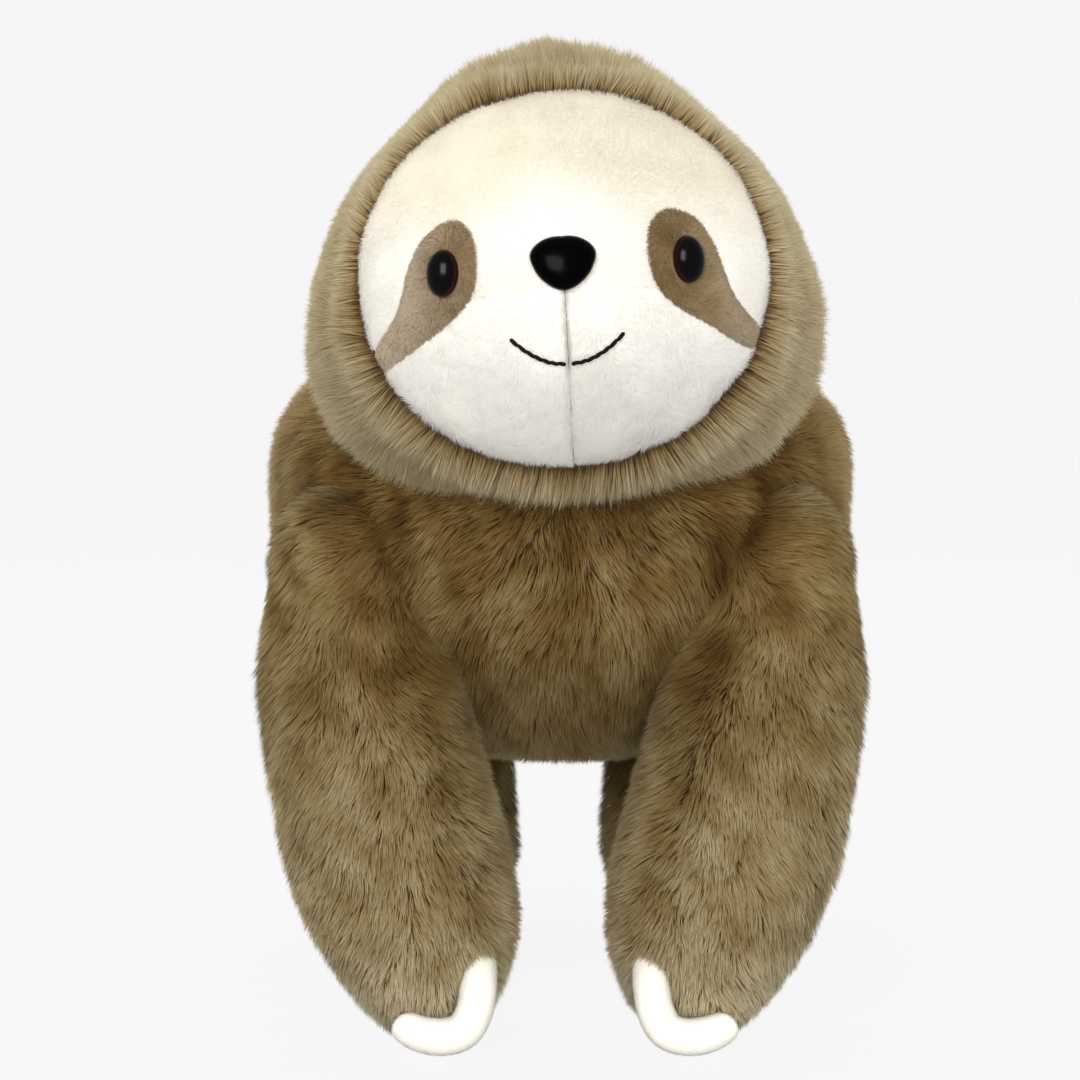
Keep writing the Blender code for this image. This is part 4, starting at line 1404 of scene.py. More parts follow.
@dataclass
class Face:
    """The sewn face: forehead, two muzzle panels, two eye patches and trim.

    Places are in the head's own frame: x across, z up from the face's middle.
    """

    head: HeadForm
    coat: Coat
    # The panels: cloth that puffs up beside its seams, with slow ripples.
    fabric: float = 2.0 * MM
    seam_half: float = 0.15 * MM
    seam_start: float = 2.6 * MM
    puff: float = 1.3 * MM
    puff_width: float = 3.2 * MM
    puff_sunk: float = 0.6
    rim_slope: float = 1.5
    ripple: float = 0.35 * MM
    ripple_size: float = 0.035
    forehead_grid: tuple[int, int] = (64, 150)
    muzzle_grid: tuple[int, int] = (60, 64)
    patch_grid: tuple[int, int] = (26, 96)
    # The eye patches, as shares of a patch's reach outwards and upwards.
    patch_out: float = 0.0880
    patch_up: float = 0.0300
    patch_middle: tuple[float, float] = (0.70, -0.0085)
    patch_rim: float = 0.995
    patch_proud: float = 0.1 * MM
    patch_steps: int = 6
    patch_shares: Table = (
        (0.570, 0.97), (0.489, 0.86), (0.450, 0.62), (0.452, 0.20), (0.506, -0.22), (0.682, -0.65),
        (0.960, -1.22), (1.090, -1.33), (1.062, -1.10), (0.881, -0.38), (0.795, 0.28),
        (0.699, 0.76),
    )
    # The eyes: domes on a low rim. The left one sits a little further in.
    eye_out: float = 0.0554
    eye_up: float = 0.0064
    eye_shift: dict[Side, float] = field(
        default_factory=lambda: {Side.LEFT: 0.0022, Side.RIGHT: 0.0}
    )
    eye_width: float = 0.0160
    eye_height: float = 0.0214
    eye_dome: float = 0.0068
    eye_dome_power: float = 0.95
    eye_rim: float = 0.0014
    eye_depth: float = 1.6
    # The nose: a rounded triangle, flatter in front than at its edge.
    nose_up: float = 0.0085
    nose_width: float = 0.0300
    nose_height: float = 0.0254
    nose_thickness: float = 0.0085
    nose_edge: float = 0.22
    nose_front_power: float = 0.8
    nose_back_power: float = 0.5
    nose_dome_power: float = 0.9
    nose_depth: float = 1.3
    nose_sunk: float = 0.3 * MM
    nose_shares: Table = (
        (0.0, 0.93), (0.22, 1.02), (0.38, 1.04), (0.55, 0.90), (0.75, 0.86), (1.0, 0.97)
    )
    # The smile: stitches of thick thread, slanted, plump in their middles.
    mouth_half: float = 0.0255
    mouth_end_down: float = 0.0238
    mouth_sag: float = 0.0125
    mouth_shares: Table = (
        (0.035, 1.0), (0.20, 0.97), (0.37, 0.88), (0.55, 0.71), (0.74, 0.46), (0.88, 0.22),
        (1.0, 0.0),
    )
    thread: float = 0.85 * MM
    thread_proud: float = 1.5
    thread_points: int = 160
    thread_ends: int = 3
    stitches: float = 7.0
    stitch_slant: float = 0.8
    stitch_girth: Span = (0.66, 0.46)
    stitch_power: float = 0.6
    twist_girth: float = 0.06
    twist_turns: float = 150.0
    # The nap: how many strands, how they stand, how they are dyed, and where shade and light are
    # painted on them.
    forehead_strands: int = 110000
    muzzle_strands: int = 42000
    patch_strands: int = 15000
    short_nap: Pile = Pile(
        length=1.9 * MM,
        width=0.34 * MM,
        root_lean=72,
        tip_lean=72,
        tuft=MM,
        pull=0.0,
        wander=30,
        bends=1,
        frizz=0.05,
        warmth=FAINT_WARMTH,
    )
    long_nap: Pile = Pile(
        length=2.4 * MM,
        width=0.34 * MM,
        root_lean=71,
        tip_lean=76,
        tuft=3.4 * MM,
        pull=0.18,
        wander=16,
        bends=1,
        frizz=0.05,
        warmth=FAINT_WARMTH,
    )
    patch_nap: Pile = Pile(
        length=3.0 * MM,
        width=0.34 * MM,
        root_lean=56,
        tip_lean=70,
        tuft=2.4 * MM,
        pull=0.15,
        wander=16,
        frizz=0.1,
        warmth=(0.0, 0.25, 0.9),
    )
    nap_turn: float = 0.7
    nap_waves: float = 0.03
    rim_fuzz: float = 3.0 * MM
    rim_longer: float = 0.5
    rim_raised: float = 0.3
    ragged_edge: float = 0.9 * MM
    forehead_hang: float = 0.3
    forehead_tone: float = 0.97
    forehead_drift: float = 0.015
    cream_tint: tuple[float, float, float] = (0.03, 0.075, 0.19)
    cream_height: Span = (0.006, 0.050)
    cream_from_nose: Span = (0.02, 0.05)
    # The cream zone is darker, and more so to the right: painted shade on the side away from the
    # key light.
    cream_side: Span = (-0.05, 0.02)
    cream_dark_and_right_shade: Span = (0.03, 0.06)
    muzzle_hang: float = 0.25
    muzzle_parting: float = 0.010
    # Painted shade: the nap darkens towards the chin, where the muzzle turns down.
    muzzle_low: Span = (0.0, -0.05)
    muzzle_low_shade: float = 0.05
    muzzle_drift: float = 0.02
    muzzle_lengths: Span = (0.85, 0.5)
    # Painted light: the left panel's nap is lighter than the right's, on the side towards the key
    # light.
    muzzle_lit_left_tones: dict[Side, float] = field(
        default_factory=lambda: {Side.LEFT: 1.08, Side.RIGHT: 1.03}
    )
    chin_fold: Span = (-0.045, -0.034)
    chin_gap: float = 1.5
    seam_gap: float = 1.1
    # Painted shade in the middle seam's groove, weaker below the mouth.
    seam_shade: float = 1.3 * MM
    seam_groove_shade: float = 0.45
    seam_below: float = 0.3
    mouth_clear: float = 0.8
    mouth_near: float = 4 * MM
    patch_hang: float = 0.5
    patch_parting: float = 0.012
    patch_outer: Span = (0.045, 0.085)
    patch_drift: float = 0.05
    # The right patch is darker than the left: painted shade on the side away from the key light.
    # Each patch grows lighter towards its outer end.
    patch_tones_shaded_right: dict[Side, Span] = field(
        default_factory=lambda: {Side.LEFT: (0.64, 1.24), Side.RIGHT: (0.47, 0.86)}
    )
    eye_clear: float = 0.47

    @property
    def start(self) -> float:
        """The u at which the panels begin, round the muzzle's pole."""
        return math.asin(self.seam_start / self.head.reach) / math.pi

    def patch_outline(self, side: Side) -> Array:
        """The eye patch's outline, a smooth closed curve through its shares.

        Args:
            side: Left or right.

        Returns:
            Its corners, as rows of (x, z).
        """
        shares = np.array(self.patch_shares)
        count = len(shares)
        found = []
        for i in range(count):
            before, start, end, after = (shares[(i + k) % count] for k in (-1, 0, 1, 2))
            for x in np.arange(self.patch_steps) / self.patch_steps:
                found.append(
                    (
                        start * 2
                        + (end - before) * x
                        + (before * 2 - start * 5 + end * 4 - after) * x * x
                        + (start * 3 - before - end * 3 + after) * x**3
                    )
                    / 2
                )
        return np.array(found) * [side.value * self.patch_out, self.patch_up]

    def in_face(self, x: Array, z: Array) -> Array:
        """How far points are inside the face's rim, in metres."""
        return (self.head.rim_share - self.head.share(x, z)) * self.head.reach * self.rim_slope

    def puffed(self, gap: Array) -> Array:
        """How far a panel rises at a distance from its seam."""
        risen = self.puff * (1 - np.exp(-np.maximum(gap, 0) / self.puff_width))
        return risen - self.puff * self.puff_sunk

    def round_patch(self, x: Array, z: Array, rise: Array, side: Side) -> Array:
        """Lets a panel sink towards an eye patch and lie below it.

        Args:
            x: The panel's places across.
            z: Its places up.
            rise: How far it rises there without the patch.
            side: Which patch.

        Returns:
            How far it rises with the patch.
        """
        outline = self.patch_outline(side)
        near = outline_distance(x, z, outline)
        inside = inside_outline(x, z, outline)
        return np.where(inside, -self.puff, np.minimum(rise, self.puffed(near)))

    def sew(
        self,
        panel: Object,
        names: tuple[str, str],
        cloth: Material,
        strands: int,
        rng: np.random.Generator,
    ) -> Roots:
        """Turns a shaped sheet into a stuffed panel.

        Args:
            panel: The sheet.
            names: The piece's name, and the node that it stands for.
            cloth: Its backing.
            strands: How many strands its nap has.
            rng: The seeded source of chance.

        Returns:
            The roots of its nap.
        """
        roots = scatter(panel, strands, rng)
        thicken(panel, self.fabric)
        settle(panel, names[0], cloth)
        fit(panel, "head", (names[1],))
        return roots

    def radial(self, x: float, z: float, down: float) -> Comb:
        """A comb that lays the nap away from a point of the face.

        Args:
            x: The point's place across.
            z: Its place up.
            down: How much the nap also hangs down.

        Returns:
            The comb.
        """

        def comb(points: Array, normals: Array) -> Array:
            """Lays the nap away from the point, turned by slow waves.

            Args:
                points: Where the strands start.
                normals: The surface's way out there.

            Returns:
                The way in which each strand lies.
            """
            local = self.head.to_local(points)
            away = unit(np.stack([local[:, 0] - x, local[:, 1] * 0, local[:, 2] - z], axis=1))
            away[:, 2] -= down
            turn = self.nap_turn * drift(points, self.nap_waves, Wave.FACE_COMB)
            c, s = np.cos(turn), np.sin(turn)
            across, up = away[:, 0] * c - away[:, 2] * s, away[:, 0] * s + away[:, 2] * c
            return np.stack([across, away[:, 1], up], axis=1) @ self.head.turn.T

        return comb

    def off_patch(self, roots: Roots, side: Side, rng: np.random.Generator) -> Array:
        """Which roots leave a patch bare, but for a ragged edge.

        Args:
            roots: The roots.
            side: Which patch.
            rng: The seeded source of chance.

        Returns:
            True for each root that stays.
        """
        x, z = self.head.across_up(roots.points)
        outline = self.patch_outline(side)
        deep = outline_distance(x, z, outline) > rng.uniform(0, self.ragged_edge, len(x))
        return ~(inside_outline(x, z, outline) & deep)

    def fuzz_rim(self, roots: Roots) -> None:
        """Lets the nap stand out over the face's rim.

        Args:
            roots: The nap's roots, which are changed.
        """
        near = ease(self.rim_fuzz, 0, self.in_face(*self.head.across_up(roots.points)))
        roots.length *= 1 + self.rim_longer * near
        roots.upright += self.rim_raised * near

    def forehead(self, rng: np.random.Generator) -> None:
        """The forehead panel and its nap, dyed cream above the eyes.

        Args:
            rng: The seeded source of chance.
        """
        head, start = self.head, self.start

        def place(first: Array, second: Array) -> Array:
            """Points from the muzzle's pole to the rim, between both cheeks."""
            u = start + (head.rim - start) * first
            return head.point(u, head.cheek(u) * (second * 2 - 1))

        panel, _ = sheet_of(place, *self.forehead_grid, np.array(head.middle))
        x, z = head.across_up(read_points(panel))
        rise = self.puffed(self.in_face(x, z))
        for side in Side:
            rise = self.round_patch(x, z, rise, side)
        rise += self.ripple * drift(read_points(panel), self.ripple_size, Wave.FACE_RIPPLE)
        swell(panel, rise)
        names = ("forehead_panel", "face_forehead")
        cloth, strands = self.coat.cream_backing, self.forehead_strands
        roots = self.sew(panel, names, cloth, strands, rng)
        keep = self.off_patch(roots, Side.LEFT, rng) & self.off_patch(roots, Side.RIGHT, rng)
        roots = roots.kept(keep)
        self.fuzz_rim(roots)
        x, z = head.across_up(roots.points)
        from_nose = np.hypot(x, z - self.nose_up)
        cream = ease(*self.cream_height, z) * ease(*self.cream_from_nose, from_nose)
        roots.tint = 1 - cream[:, None] * np.array(self.cream_tint)
        # Darker over the cream zone, and more so to the right: painted shade on the side away from
        # the key light.
        shade = self.cream_dark_and_right_shade[0] + self.cream_dark_and_right_shade[1] * ease(*self.cream_side, x)
        roots.tone = self.forehead_tone - shade * cream
        roots.tone += self.forehead_drift * drift(roots.points, 0.02, Wave.FOREHEAD_TONE)
        parts = {"forehead_nap": slice(None)}
        comb = self.radial(0, 0, self.forehead_hang)
        plant(self.short_nap, roots, comb, self.coat.cream, rng, parts, "head")

    def muzzle(self, side: Side, rng: np.random.Generator) -> None:
        """One muzzle panel and its longer nap, parted at seam and mouth.

        Args:
            side: Left or right.
            rng: The seeded source of chance.
        """
        head, start = self.head, self.start

        def place(first: Array, second: Array) -> Array:
            """Points from the muzzle's pole to the rim, from cheek to middle seam.

            Args:
                first: Shares of the way to the rim.
                second: Shares of the way round to the middle seam.

            Returns:
                One point for each place.
            """
            u = start + (head.rim - start) * first
            seam = head.cheek(u)
            half = self.seam_half / np.maximum(head.reach * np.sin(math.pi * u), MM)
            return head.point(u, side.value * (seam + (math.pi - half - seam) * second))

        panel, second = sheet_of(place, *self.muzzle_grid, np.array(head.middle))
        x, z = head.across_up(read_points(panel))
        middle_gap = (1 - second) * self.seam_gap * np.hypot(x, z)
        above = ease(*self.chin_fold, z)
        gap = np.minimum(self.in_face(x, z), middle_gap * (self.chin_gap - above))
        rise = self.round_patch(x, z, self.puffed(gap), side)
        rise += self.ripple * drift(read_points(panel), self.ripple_size, Wave.FACE_RIPPLE)
        swell(panel, rise)
        names = (f"muzzle_panel_{side.word}", f"muzzle_{side.word}")
        cloth, strands = self.coat.shaded_muzzle_backing, self.muzzle_strands
        roots = self.sew(panel, names, cloth, strands, rng)
        x, z = head.across_up(roots.points)
        keep = self.off_patch(roots, side, rng)
        mouth = self.mouth_line(side, np.linspace(0, 1, 24))
        from_mouth = np.min([np.hypot(x - at_x, z - at_z) for at_x, _, at_z in mouth], axis=0)
        keep &= from_mouth > self.thread * self.mouth_clear
        roots, from_mouth = roots.kept(keep), from_mouth[keep]
        x, z = head.across_up(roots.points)
        low = ease(*self.muzzle_low, z)
        # Painted shade along the middle seam's groove.
        seam = np.exp(-((x / self.seam_shade) ** 2))
        seam *= self.seam_below + (1 - self.seam_below) * ease(*self.chin_fold, z)
        roots.length = self.muzzle_lengths[0] + self.muzzle_lengths[1] * low
        roots.length *= 0.5 + 0.5 * ease(0, self.mouth_near, from_mouth)
        self.fuzz_rim(roots)
        # Painted light on the left panel, painted shade towards the chin and in the middle seam's
        # groove.
        roots.tone = self.muzzle_lit_left_tones[side] - self.muzzle_low_shade * low - self.seam_groove_shade * seam
        roots.tone += self.muzzle_drift * drift(roots.points, 0.012, Wave.MUZZLE_TONE)
        comb = self.radial(0, self.nose_up + self.muzzle_parting, self.muzzle_hang)
        parts = {f"muzzle_nap_{side.word}": slice(None)}
        plant(self.long_nap, roots, comb, self.coat.cream, rng, parts, "head")

    def patch(self, side: Side, rng: np.random.Generator) -> None:
        """One eye patch, set into the face, and its brushed nap.

        Args:
            side: Left or right.
            rng: The seeded source of chance.
        """
        head = self.head
        outline = self.patch_outline(side)
        share = head.share(outline[:, 0], outline[:, 1])
        outline *= np.minimum(1, head.rim_share * self.patch_rim / share)[:, None]
        closed = np.concatenate([outline, outline[:1]])
        out, up = self.patch_middle
        middle = np.array([side.value * out * self.patch_out, up])
        steps = np.linspace(0, 1, len(closed))

        def place(first: Array, second: Array) -> Array:
            """Points from the patch's middle to its edge, round the edge.

            Args:
                first: Shares of the way to the edge.
                second: Shares of the way round.

            Returns:
                One point for each place.
            """
            edge = np.stack([np.interp(second, steps, closed[:, k]) for k in (0, 1)], axis=1)
            spot = middle + (edge - middle) * first[:, None]
            return head.to_world(head.on_face(spot[:, 0], spot[:, 1]))

        panel, _ = sheet_of(place, *self.patch_grid, np.array(head.middle))
        near = outline_distance(*head.across_up(read_points(panel)), outline)
        swell(panel, self.puffed(near) + self.patch_proud)
        names = (f"eye_patch_panel_{side.word}", f"eye_patch_{side.word}")
        cloth, strands = self.coat.patch_backing, self.patch_strands
        roots = self.sew(panel, names, cloth, strands, rng)
        x, z = head.across_up(roots.points)
        across, up = x - self.eye_across(side), z - self.eye_up
        from_eye = np.hypot(across / self.eye_width, up / self.eye_height)
        roots = roots.kept(from_eye > self.eye_clear)
        outer = ease(*self.patch_outer, side.value * head.to_local(roots.points)[:, 0])
        # Painted shade darkens the right patch; both lighten towards their outer ends.
        high, low_end = self.patch_tones_shaded_right[side]
        roots.tone = high + (low_end - high) * outer
        roots.tone += self.patch_drift * drift(roots.points, 0.012, Wave.PATCH_TONE)
        above = self.eye_up + self.patch_parting
        comb = self.radial(self.eye_across(side), above, self.patch_hang)
        parts = {f"eye_patch_nap_{side.word}": slice(None)}
        plant(self.patch_nap, roots, comb, self.coat.brown, rng, parts, "head")

    def eye_across(self, side: Side) -> float:
        """An eye's place across the face: the left one sits a little further in."""
        return side.value * (self.eye_out - self.eye_shift[side])

    def face_normal(self, x: float, z: float) -> Array:
        """The face's way out at a place.

        Args:
            x: The place across.
            z: The place up.

        Returns:
            The outward normal, of length 1.
        """
        step = 0.2 * MM
        spots = self.head.on_face(
            np.array([x - step, x + step, x, x]), np.array([z, z, z - step, z + step])
        )
        return unit(np.cross(spots[1] - spots[0], spots[3] - spots[2])[None, :])[0]

    def eye(self, side: Side) -> None:
        """One domed safety eye, seated where its solid is.

        Args:
            side: Left or right.
        """
        head, across = self.head, self.eye_across(side)
        out = head.turn @ self.face_normal(across, self.eye_up)
        spot = head.to_world(head.on_face(np.array([across]), np.array([self.eye_up])))[0]
        node = bpy.data.objects[f"eye_{side.word}"]
        top = ((read_points(node) - spot) @ out).max()
        seat = spot + out * (top - self.eye_dome - self.eye_rim)
        track = Vector(out).to_track_quat("Z", "Y").to_matrix()
        made = unit_sphere(64, 40)
        co = read_points(made)
        height = np.where(
            co[:, 2] > 0,
            self.eye_rim + self.eye_dome * np.maximum(co[:, 2], 0) ** self.eye_dome_power,
            self.eye_rim * (1 + self.eye_depth * co[:, 2]),
        )
        shaped = np.stack(
            [self.eye_width / 2 * co[:, 0], self.eye_height / 2 * co[:, 1], height], axis=1
        )
        from_middle = np.hypot(co[:, 0], co[:, 1])
        set_attribute(made, "rim", np.where(co[:, 2] > 0, from_middle, 1.0))
        write_points(made, shaped @ np.array(track).T + seat)
        settle(made, f"safety_eye_{side.word}", self.coat.eye)
        fit(made, "head", (f"eye_{side.word}",))

    def nose(self) -> None:
        """The glossy nose: a rounded triangle that follows the muzzle."""
        head = self.head
        made = unit_sphere(96, 48)
        co = read_points(made)
        t = np.arctan2(co[:, 0], co[:, 1])
        reach = share_curve(self.nose_shares, half_turns(t))[:, 0]
        polar = np.arccos(np.clip(co[:, 2], -1, 1))
        ring = np.sin(polar)
        front, back = ring**self.nose_front_power, ring**self.nose_back_power
        across = np.where(polar < math.pi / 2, front, back)
        x = self.nose_width / 2 * reach * across * np.sin(t)
        z = self.nose_up + self.nose_height / 2 * reach * across * np.cos(t)
        rim_x = self.nose_width / 2 * reach * np.sin(t)
        rim_z = self.nose_up + self.nose_height / 2 * reach * np.cos(t)
        middle = head.on_face(np.zeros(1), np.array([self.nose_up]))[0, 1]
        rim_y = head.on_face(rim_x, rim_z)[:, 1] - self.nose_sunk
        base = middle + (rim_y - middle) * across
        dome = np.maximum(np.cos(polar), 0) ** self.nose_dome_power
        lift = self.nose_thickness * (self.nose_edge + (1 - self.nose_edge) * dome)
        behind = np.maximum(-np.cos(polar), 0)
        back = rim_y - lift + behind * lift * self.nose_depth
        y = np.where(co[:, 2] >= 0, base - lift, back)
        set_attribute(made, "rim", np.where(co[:, 2] >= 0, across, 1.0))
        write_points(made, head.to_world(np.stack([x, y, z], axis=1)))
        face_outwards()
        settle(made, "moulded_nose", self.coat.nose)
        fit(made, "head", ("nose",))

    def mouth_line(self, side: Side, share: Array) -> Array:
        """Points of one half of the mouth on the face.

        Args:
            side: Left or right.
            share: Places from the middle seam to the corner, from 0 to 1.

        Returns:
            One point for each place.
        """
        first, last = self.mouth_shares[0][0], self.mouth_shares[-1][0]
        place = first + (last - first) * share
        sag = share_curve(self.mouth_shares, place)[:, 0]
        x = side.value * self.mouth_half * place
        return self.head.on_face(x, -self.mouth_end_down - self.mouth_sag * sag)

    def mouth(self, side: Side) -> None:
        """One half of the smile: stitches of thick thread, end over end.

        Args:
            side: Left or right.
        """
        count = self.thread_points
        share = np.linspace(0, 1, count)
        spots = self.mouth_line(side, share)
        stitch = share * self.stitches
        in_stitch = stitch - np.floor(stitch)
        spots[:, 2] += self.thread * self.stitch_slant * (in_stitch - 0.5)
        normal = self.face_normal(side.value * self.mouth_half / 2, -self.mouth_end_down)
        least, more = self.stitch_girth
        plump = least + more * np.sin(math.pi * in_stitch) ** self.stitch_power
        plump *= 1 + self.twist_girth * np.sin(share * self.twist_turns)
        from_end = np.minimum(np.arange(count), count - 1 - np.arange(count))
        ends = np.minimum(1, from_end / self.thread_ends)
        path = self.head.to_world(spots + normal * self.thread * self.thread_proud)
        made = worm_of(path, self.thread * plump * ends, 12)
        settle(made, f"mouth_thread_{side.word}", self.coat.thread)
        fit(made, "head", (f"mouth_stitch_{side.word}",))


@dataclass
class Head:
    """The head's furred skin behind the face."""

    form: HeadForm
    coat: Coat
    # The hide lies deeper than the solid, by the height of the pile that covers it.
    inset: float = 6.5 * MM
    rim_inset: float = 2.6 * MM
    rim_before: float = 0.012
    rim_after: float = 0.06
    strands: int = 225000
    fur: Pile = Pile(14.5 * MM, 0.38 * MM, 32, 64, 3.2 * MM, 0.30, 7, laid_lean=63)
    comb_ahead: Span = (0.06, -0.03)
    comb_behind: Span = (0.02, 0.10)
    comb_flat: float = 0.35
    comb_turn: float = 0.35
    comb_waves: float = 0.045
    # Zones in the head's own frame, each with where it begins and where it is full.
    tucked: float = 0.034
    shingle: Span = (0.28, 0.16)
    chin: Span = (0.025, -0.06)
    crown_up: Span = (0.06, 0.095)
    crown_ahead: Span = (0.04, -0.01)
    crown_side: Span = (0.010, 0.035)
    back: Span = (-0.04, 0.015)
    left_side: Span = (-0.03, -0.10)
    left_low: Span = (0.45, 0.36)
    # What the zones do to the strands. The shades are painted shade: darker fur at the chin, at
    # the front of the crown and low on the left.
    chin_longer: float = 0.8
    crown_longer: Span = (0.1, 0.45)
    shingle_ragged: Span = (-0.3, 0.12)
    shingle_laid: float = 0.85
    crown_unlaid: float = 0.5
    back_laid: float = 0.5
    crown_raised: float = 0.5
    chin_raised: float = 0.3
    tone: float = 0.95
    chin_shade: float = 0.02
    crown_shade: float = 0.10
    left_shade: float = 0.07
    tone_drift: float = 0.07

    def comb(self, points: Array, normals: Array) -> Array:
        """Lays the fur away from the face and over the back of the head.

        Args:
            points: Where the strands start.
            normals: The surface's way out there.

        Returns:
            The way in which each strand lies.
        """
        local = self.form.to_local(points)
        away = unit(local * [1.0, 0.0, 1.0])
        ahead = ease(*self.comb_ahead, local[:, 1])[:, None]
        flat = self.comb_flat
        way = away * (flat + (1 - flat) * ahead) + np.array([0, 1, 0]) * (1.0 - flat * ahead)
        behind = ease(*self.comb_behind, local[:, 1])[:, None]
        way = way * (1 - behind) + np.array([0, 0.2, -1.0]) * behind
        turn = self.comb_turn * drift(points, self.comb_waves, Wave.HEAD_COMB)[:, None]
        way = way @ self.form.turn.T
        return way + np.cross(normals, way) * turn

    def build(self, rng: np.random.Generator) -> None:
        """The skin and its fur.

        Args:
            rng: The seeded source of chance.
        """
        form = self.form
        hide = ball_of(form, 96, 64, poles_on_y=True)
        local = form.to_local(read_points(hide))
        share = np.arccos(np.clip(-local[:, 1] / form.reach, -1, 1)) / math.pi
        deeper = (self.inset - self.rim_inset) * ease(form.rim, form.rim + self.rim_after, share)
        inset = np.where(share < form.rim - self.rim_before, self.inset, self.rim_inset + deeper)
        swell(hide, -inset)
        settle(hide, "head_hide", self.coat.fur_backing)
        fit(hide, "head", ("head_skin", "head_stuffing"))
        roots = scatter(hide, self.strands, rng)
        local = form.to_local(roots.points)
        on_rim = form.share(local[:, 0], local[:, 2]) > form.rim_share - self.tucked
        roots = roots.kept((local[:, 1] > 0) | on_rim)
        x, y, z = form.to_local(roots.points).T
        beyond = form.share(x, z) - form.rim_share
        near = np.where(y < 0, ease(*self.shingle, beyond), 0.0)
        chin = ease(*self.chin, z)
        crown = ease(*self.crown_up, z) * ease(*self.crown_ahead, y)
        beside = ease(*self.crown_side, np.abs(x))
        least, more = self.crown_longer
        roots.length = 1 + self.chin_longer * chin + crown * (least + more * beside)
        roots.length *= 1 + rng.uniform(*self.shingle_ragged, len(near)) * near
        laid = self.shingle_laid * near * (1 - self.crown_unlaid * crown)
        roots.laid = np.maximum(laid, self.back_laid * ease(*self.back, y))
        roots.upright = self.crown_raised * crown + self.chin_raised * chin
        left = ease(*self.left_side, roots.points[:, 0]) * ease(*self.left_low, roots.points[:, 2])
        # Painted shade at the chin, at the crown's front and low on the left.
        roots.tone = self.tone - self.chin_shade * chin - self.crown_shade * crown
        roots.tone -= self.left_shade * left
        roots.tone += self.tone_drift * drift(roots.points, 0.02, Wave.HEAD_TONE)
        left, ahead = x < 0, y < 0
        parts = {
            "head_fur_left": left & ahead,
            "head_fur_right": ~left & ahead,
            "head_fur_back_left": left & ~ahead,
            "head_fur_back_right": ~left & ~ahead,
        }
        plant(self.fur, roots, self.comb, self.coat.fur, rng, parts, "head")


@dataclass
class Neck:
    """The short collar under the head."""

    coat: Coat
    rings: int = 24
    bulge_power: float = 0.35

    def build(self) -> None:
        """A soft roll of backing cloth between torso and head."""
        low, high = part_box("neck")
        middle, half = (low + high) / 2, (high - low) / 2
        path = np.tile(np.array(middle), (self.rings, 1))
        path[:, 2] = np.linspace(low.z, high.z, self.rings)
        bulge = np.sin(np.linspace(0, math.pi, self.rings)) ** self.bulge_power
        made = worm_of(path, min(half.x, half.y) * bulge, 48)
        settle(made, "neck_collar", self.coat.fur_backing)
        fit(made, "neck", ("neck",))


@dataclass
class Torso:
    """The body's furred skin."""

    form: TorsoForm
    head: HeadForm
    limbs: list[LimbForm]
    coat: Coat
    inset: float = 6.5 * MM
    strands: int = 250000
    fur: Pile = Pile(15 * MM, 0.42 * MM, 24, 66, 3.8 * MM, 0.32, 8)
    comb_way: tuple[float, float, float] = (0.0, 0.75, -0.7)
    comb_out: float = 2.2
    comb_turn: float = 0.5
    comb_waves: float = 0.05
    # Where the fur is bare: below the head, and in the limbs' sockets.
    head_clear: float = 1 * MM
    limb_clear: float = 8 * MM
    # Zones, each with where it begins and where it is full.
    ahead: Span = (0.16, 0.03)
    chest_ahead: Span = (0.0, -0.06)
    chest_low: Span = (0.25, 0.17)
    crease_reach: float = 20 * MM
    under_head: float = 45 * MM
    belly_top: float = 0.21
    # How the zones darken the fur: painted shade at the front under the head, on the low chest and
    # in the creases beside the limbs.
    tone: float = 0.85
    ahead_shade: float = 0.29
    chest_shade: float = 0.06
    crease_shade: float = 0.14
    under_shade: float = 0.22
    tone_drift: float = 0.10
    warm_tint: tuple[float, float, float] = (0.0, 0.02, 0.08)

    def comb(self, points: Array, normals: Array) -> Array:
        """Lays the fur back over the spine and down the sides.

        Args:
            points: Where the strands start.
            normals: The surface's way out there.

        Returns:
            The way in which each strand lies.
        """
        way = np.tile(np.array(self.comb_way), (len(points), 1))
        way[:, 0] = self.comb_out * points[:, 0]
        turn = self.comb_turn * drift(points, self.comb_waves, Wave.TORSO_COMB)[:, None]
        return way + np.cross(normals, way) * turn

    def build(self, rng: np.random.Generator) -> None:
        """The skin and its fur.

        Args:
            rng: The seeded source of chance.
        """
        hide = ball_of(self.form, 96, 64, poles_on_y=True)
        swell(hide, -self.inset)
        settle(hide, "torso_hide", self.coat.fur_backing)
        nodes = ("torso_back_panel", "torso_belly_panel", "torso_stuffing", "seat_pouch")
        fit(hide, "torso", nodes)
        roots = scatter(hide, self.strands, rng)
        keep = ~self.head.contains(roots.points, self.head_clear)
        for limb in self.limbs:
            from_joint = np.linalg.norm(roots.points - np.array(limb.joint), axis=1)
            keep &= from_joint > limb.root - self.limb_clear
        roots = roots.kept(keep)
        x, y, z = roots.points.T
        ahead = ease(*self.ahead, y)
        chest = ease(*self.chest_ahead, y) * ease(*self.chest_low, z)
        crease = sum(closeness(limb, roots.points, self.crease_reach) for limb in self.limbs)
        under = closeness(self.head, roots.points, self.under_head) * ahead
        # Painted shade at the front, under the head, on the low chest and in the creases by the
        # limbs.
        roots.tone = self.tone - self.ahead_shade * ahead - self.chest_shade * chest
        roots.tone -= self.crease_shade * np.minimum(crease, 1)
        roots.tone += self.tone_drift * drift(roots.points, 0.022, Wave.TORSO_TONE)
        roots.tone -= self.under_shade * under
        roots.tint = np.tile(1 - np.array(self.warm_tint), (len(roots.points), 1))
        low, left = z < self.belly_top, x < 0
        parts = {
            "torso_fur_back_left": ~low & left,
            "torso_fur_back_right": ~low & ~left,
            "torso_fur_belly_left": low & left,
            "torso_fur_belly_right": low & ~left,
        }
        plant(self.fur, roots, self.comb, self.coat.fur, rng, parts, "torso")


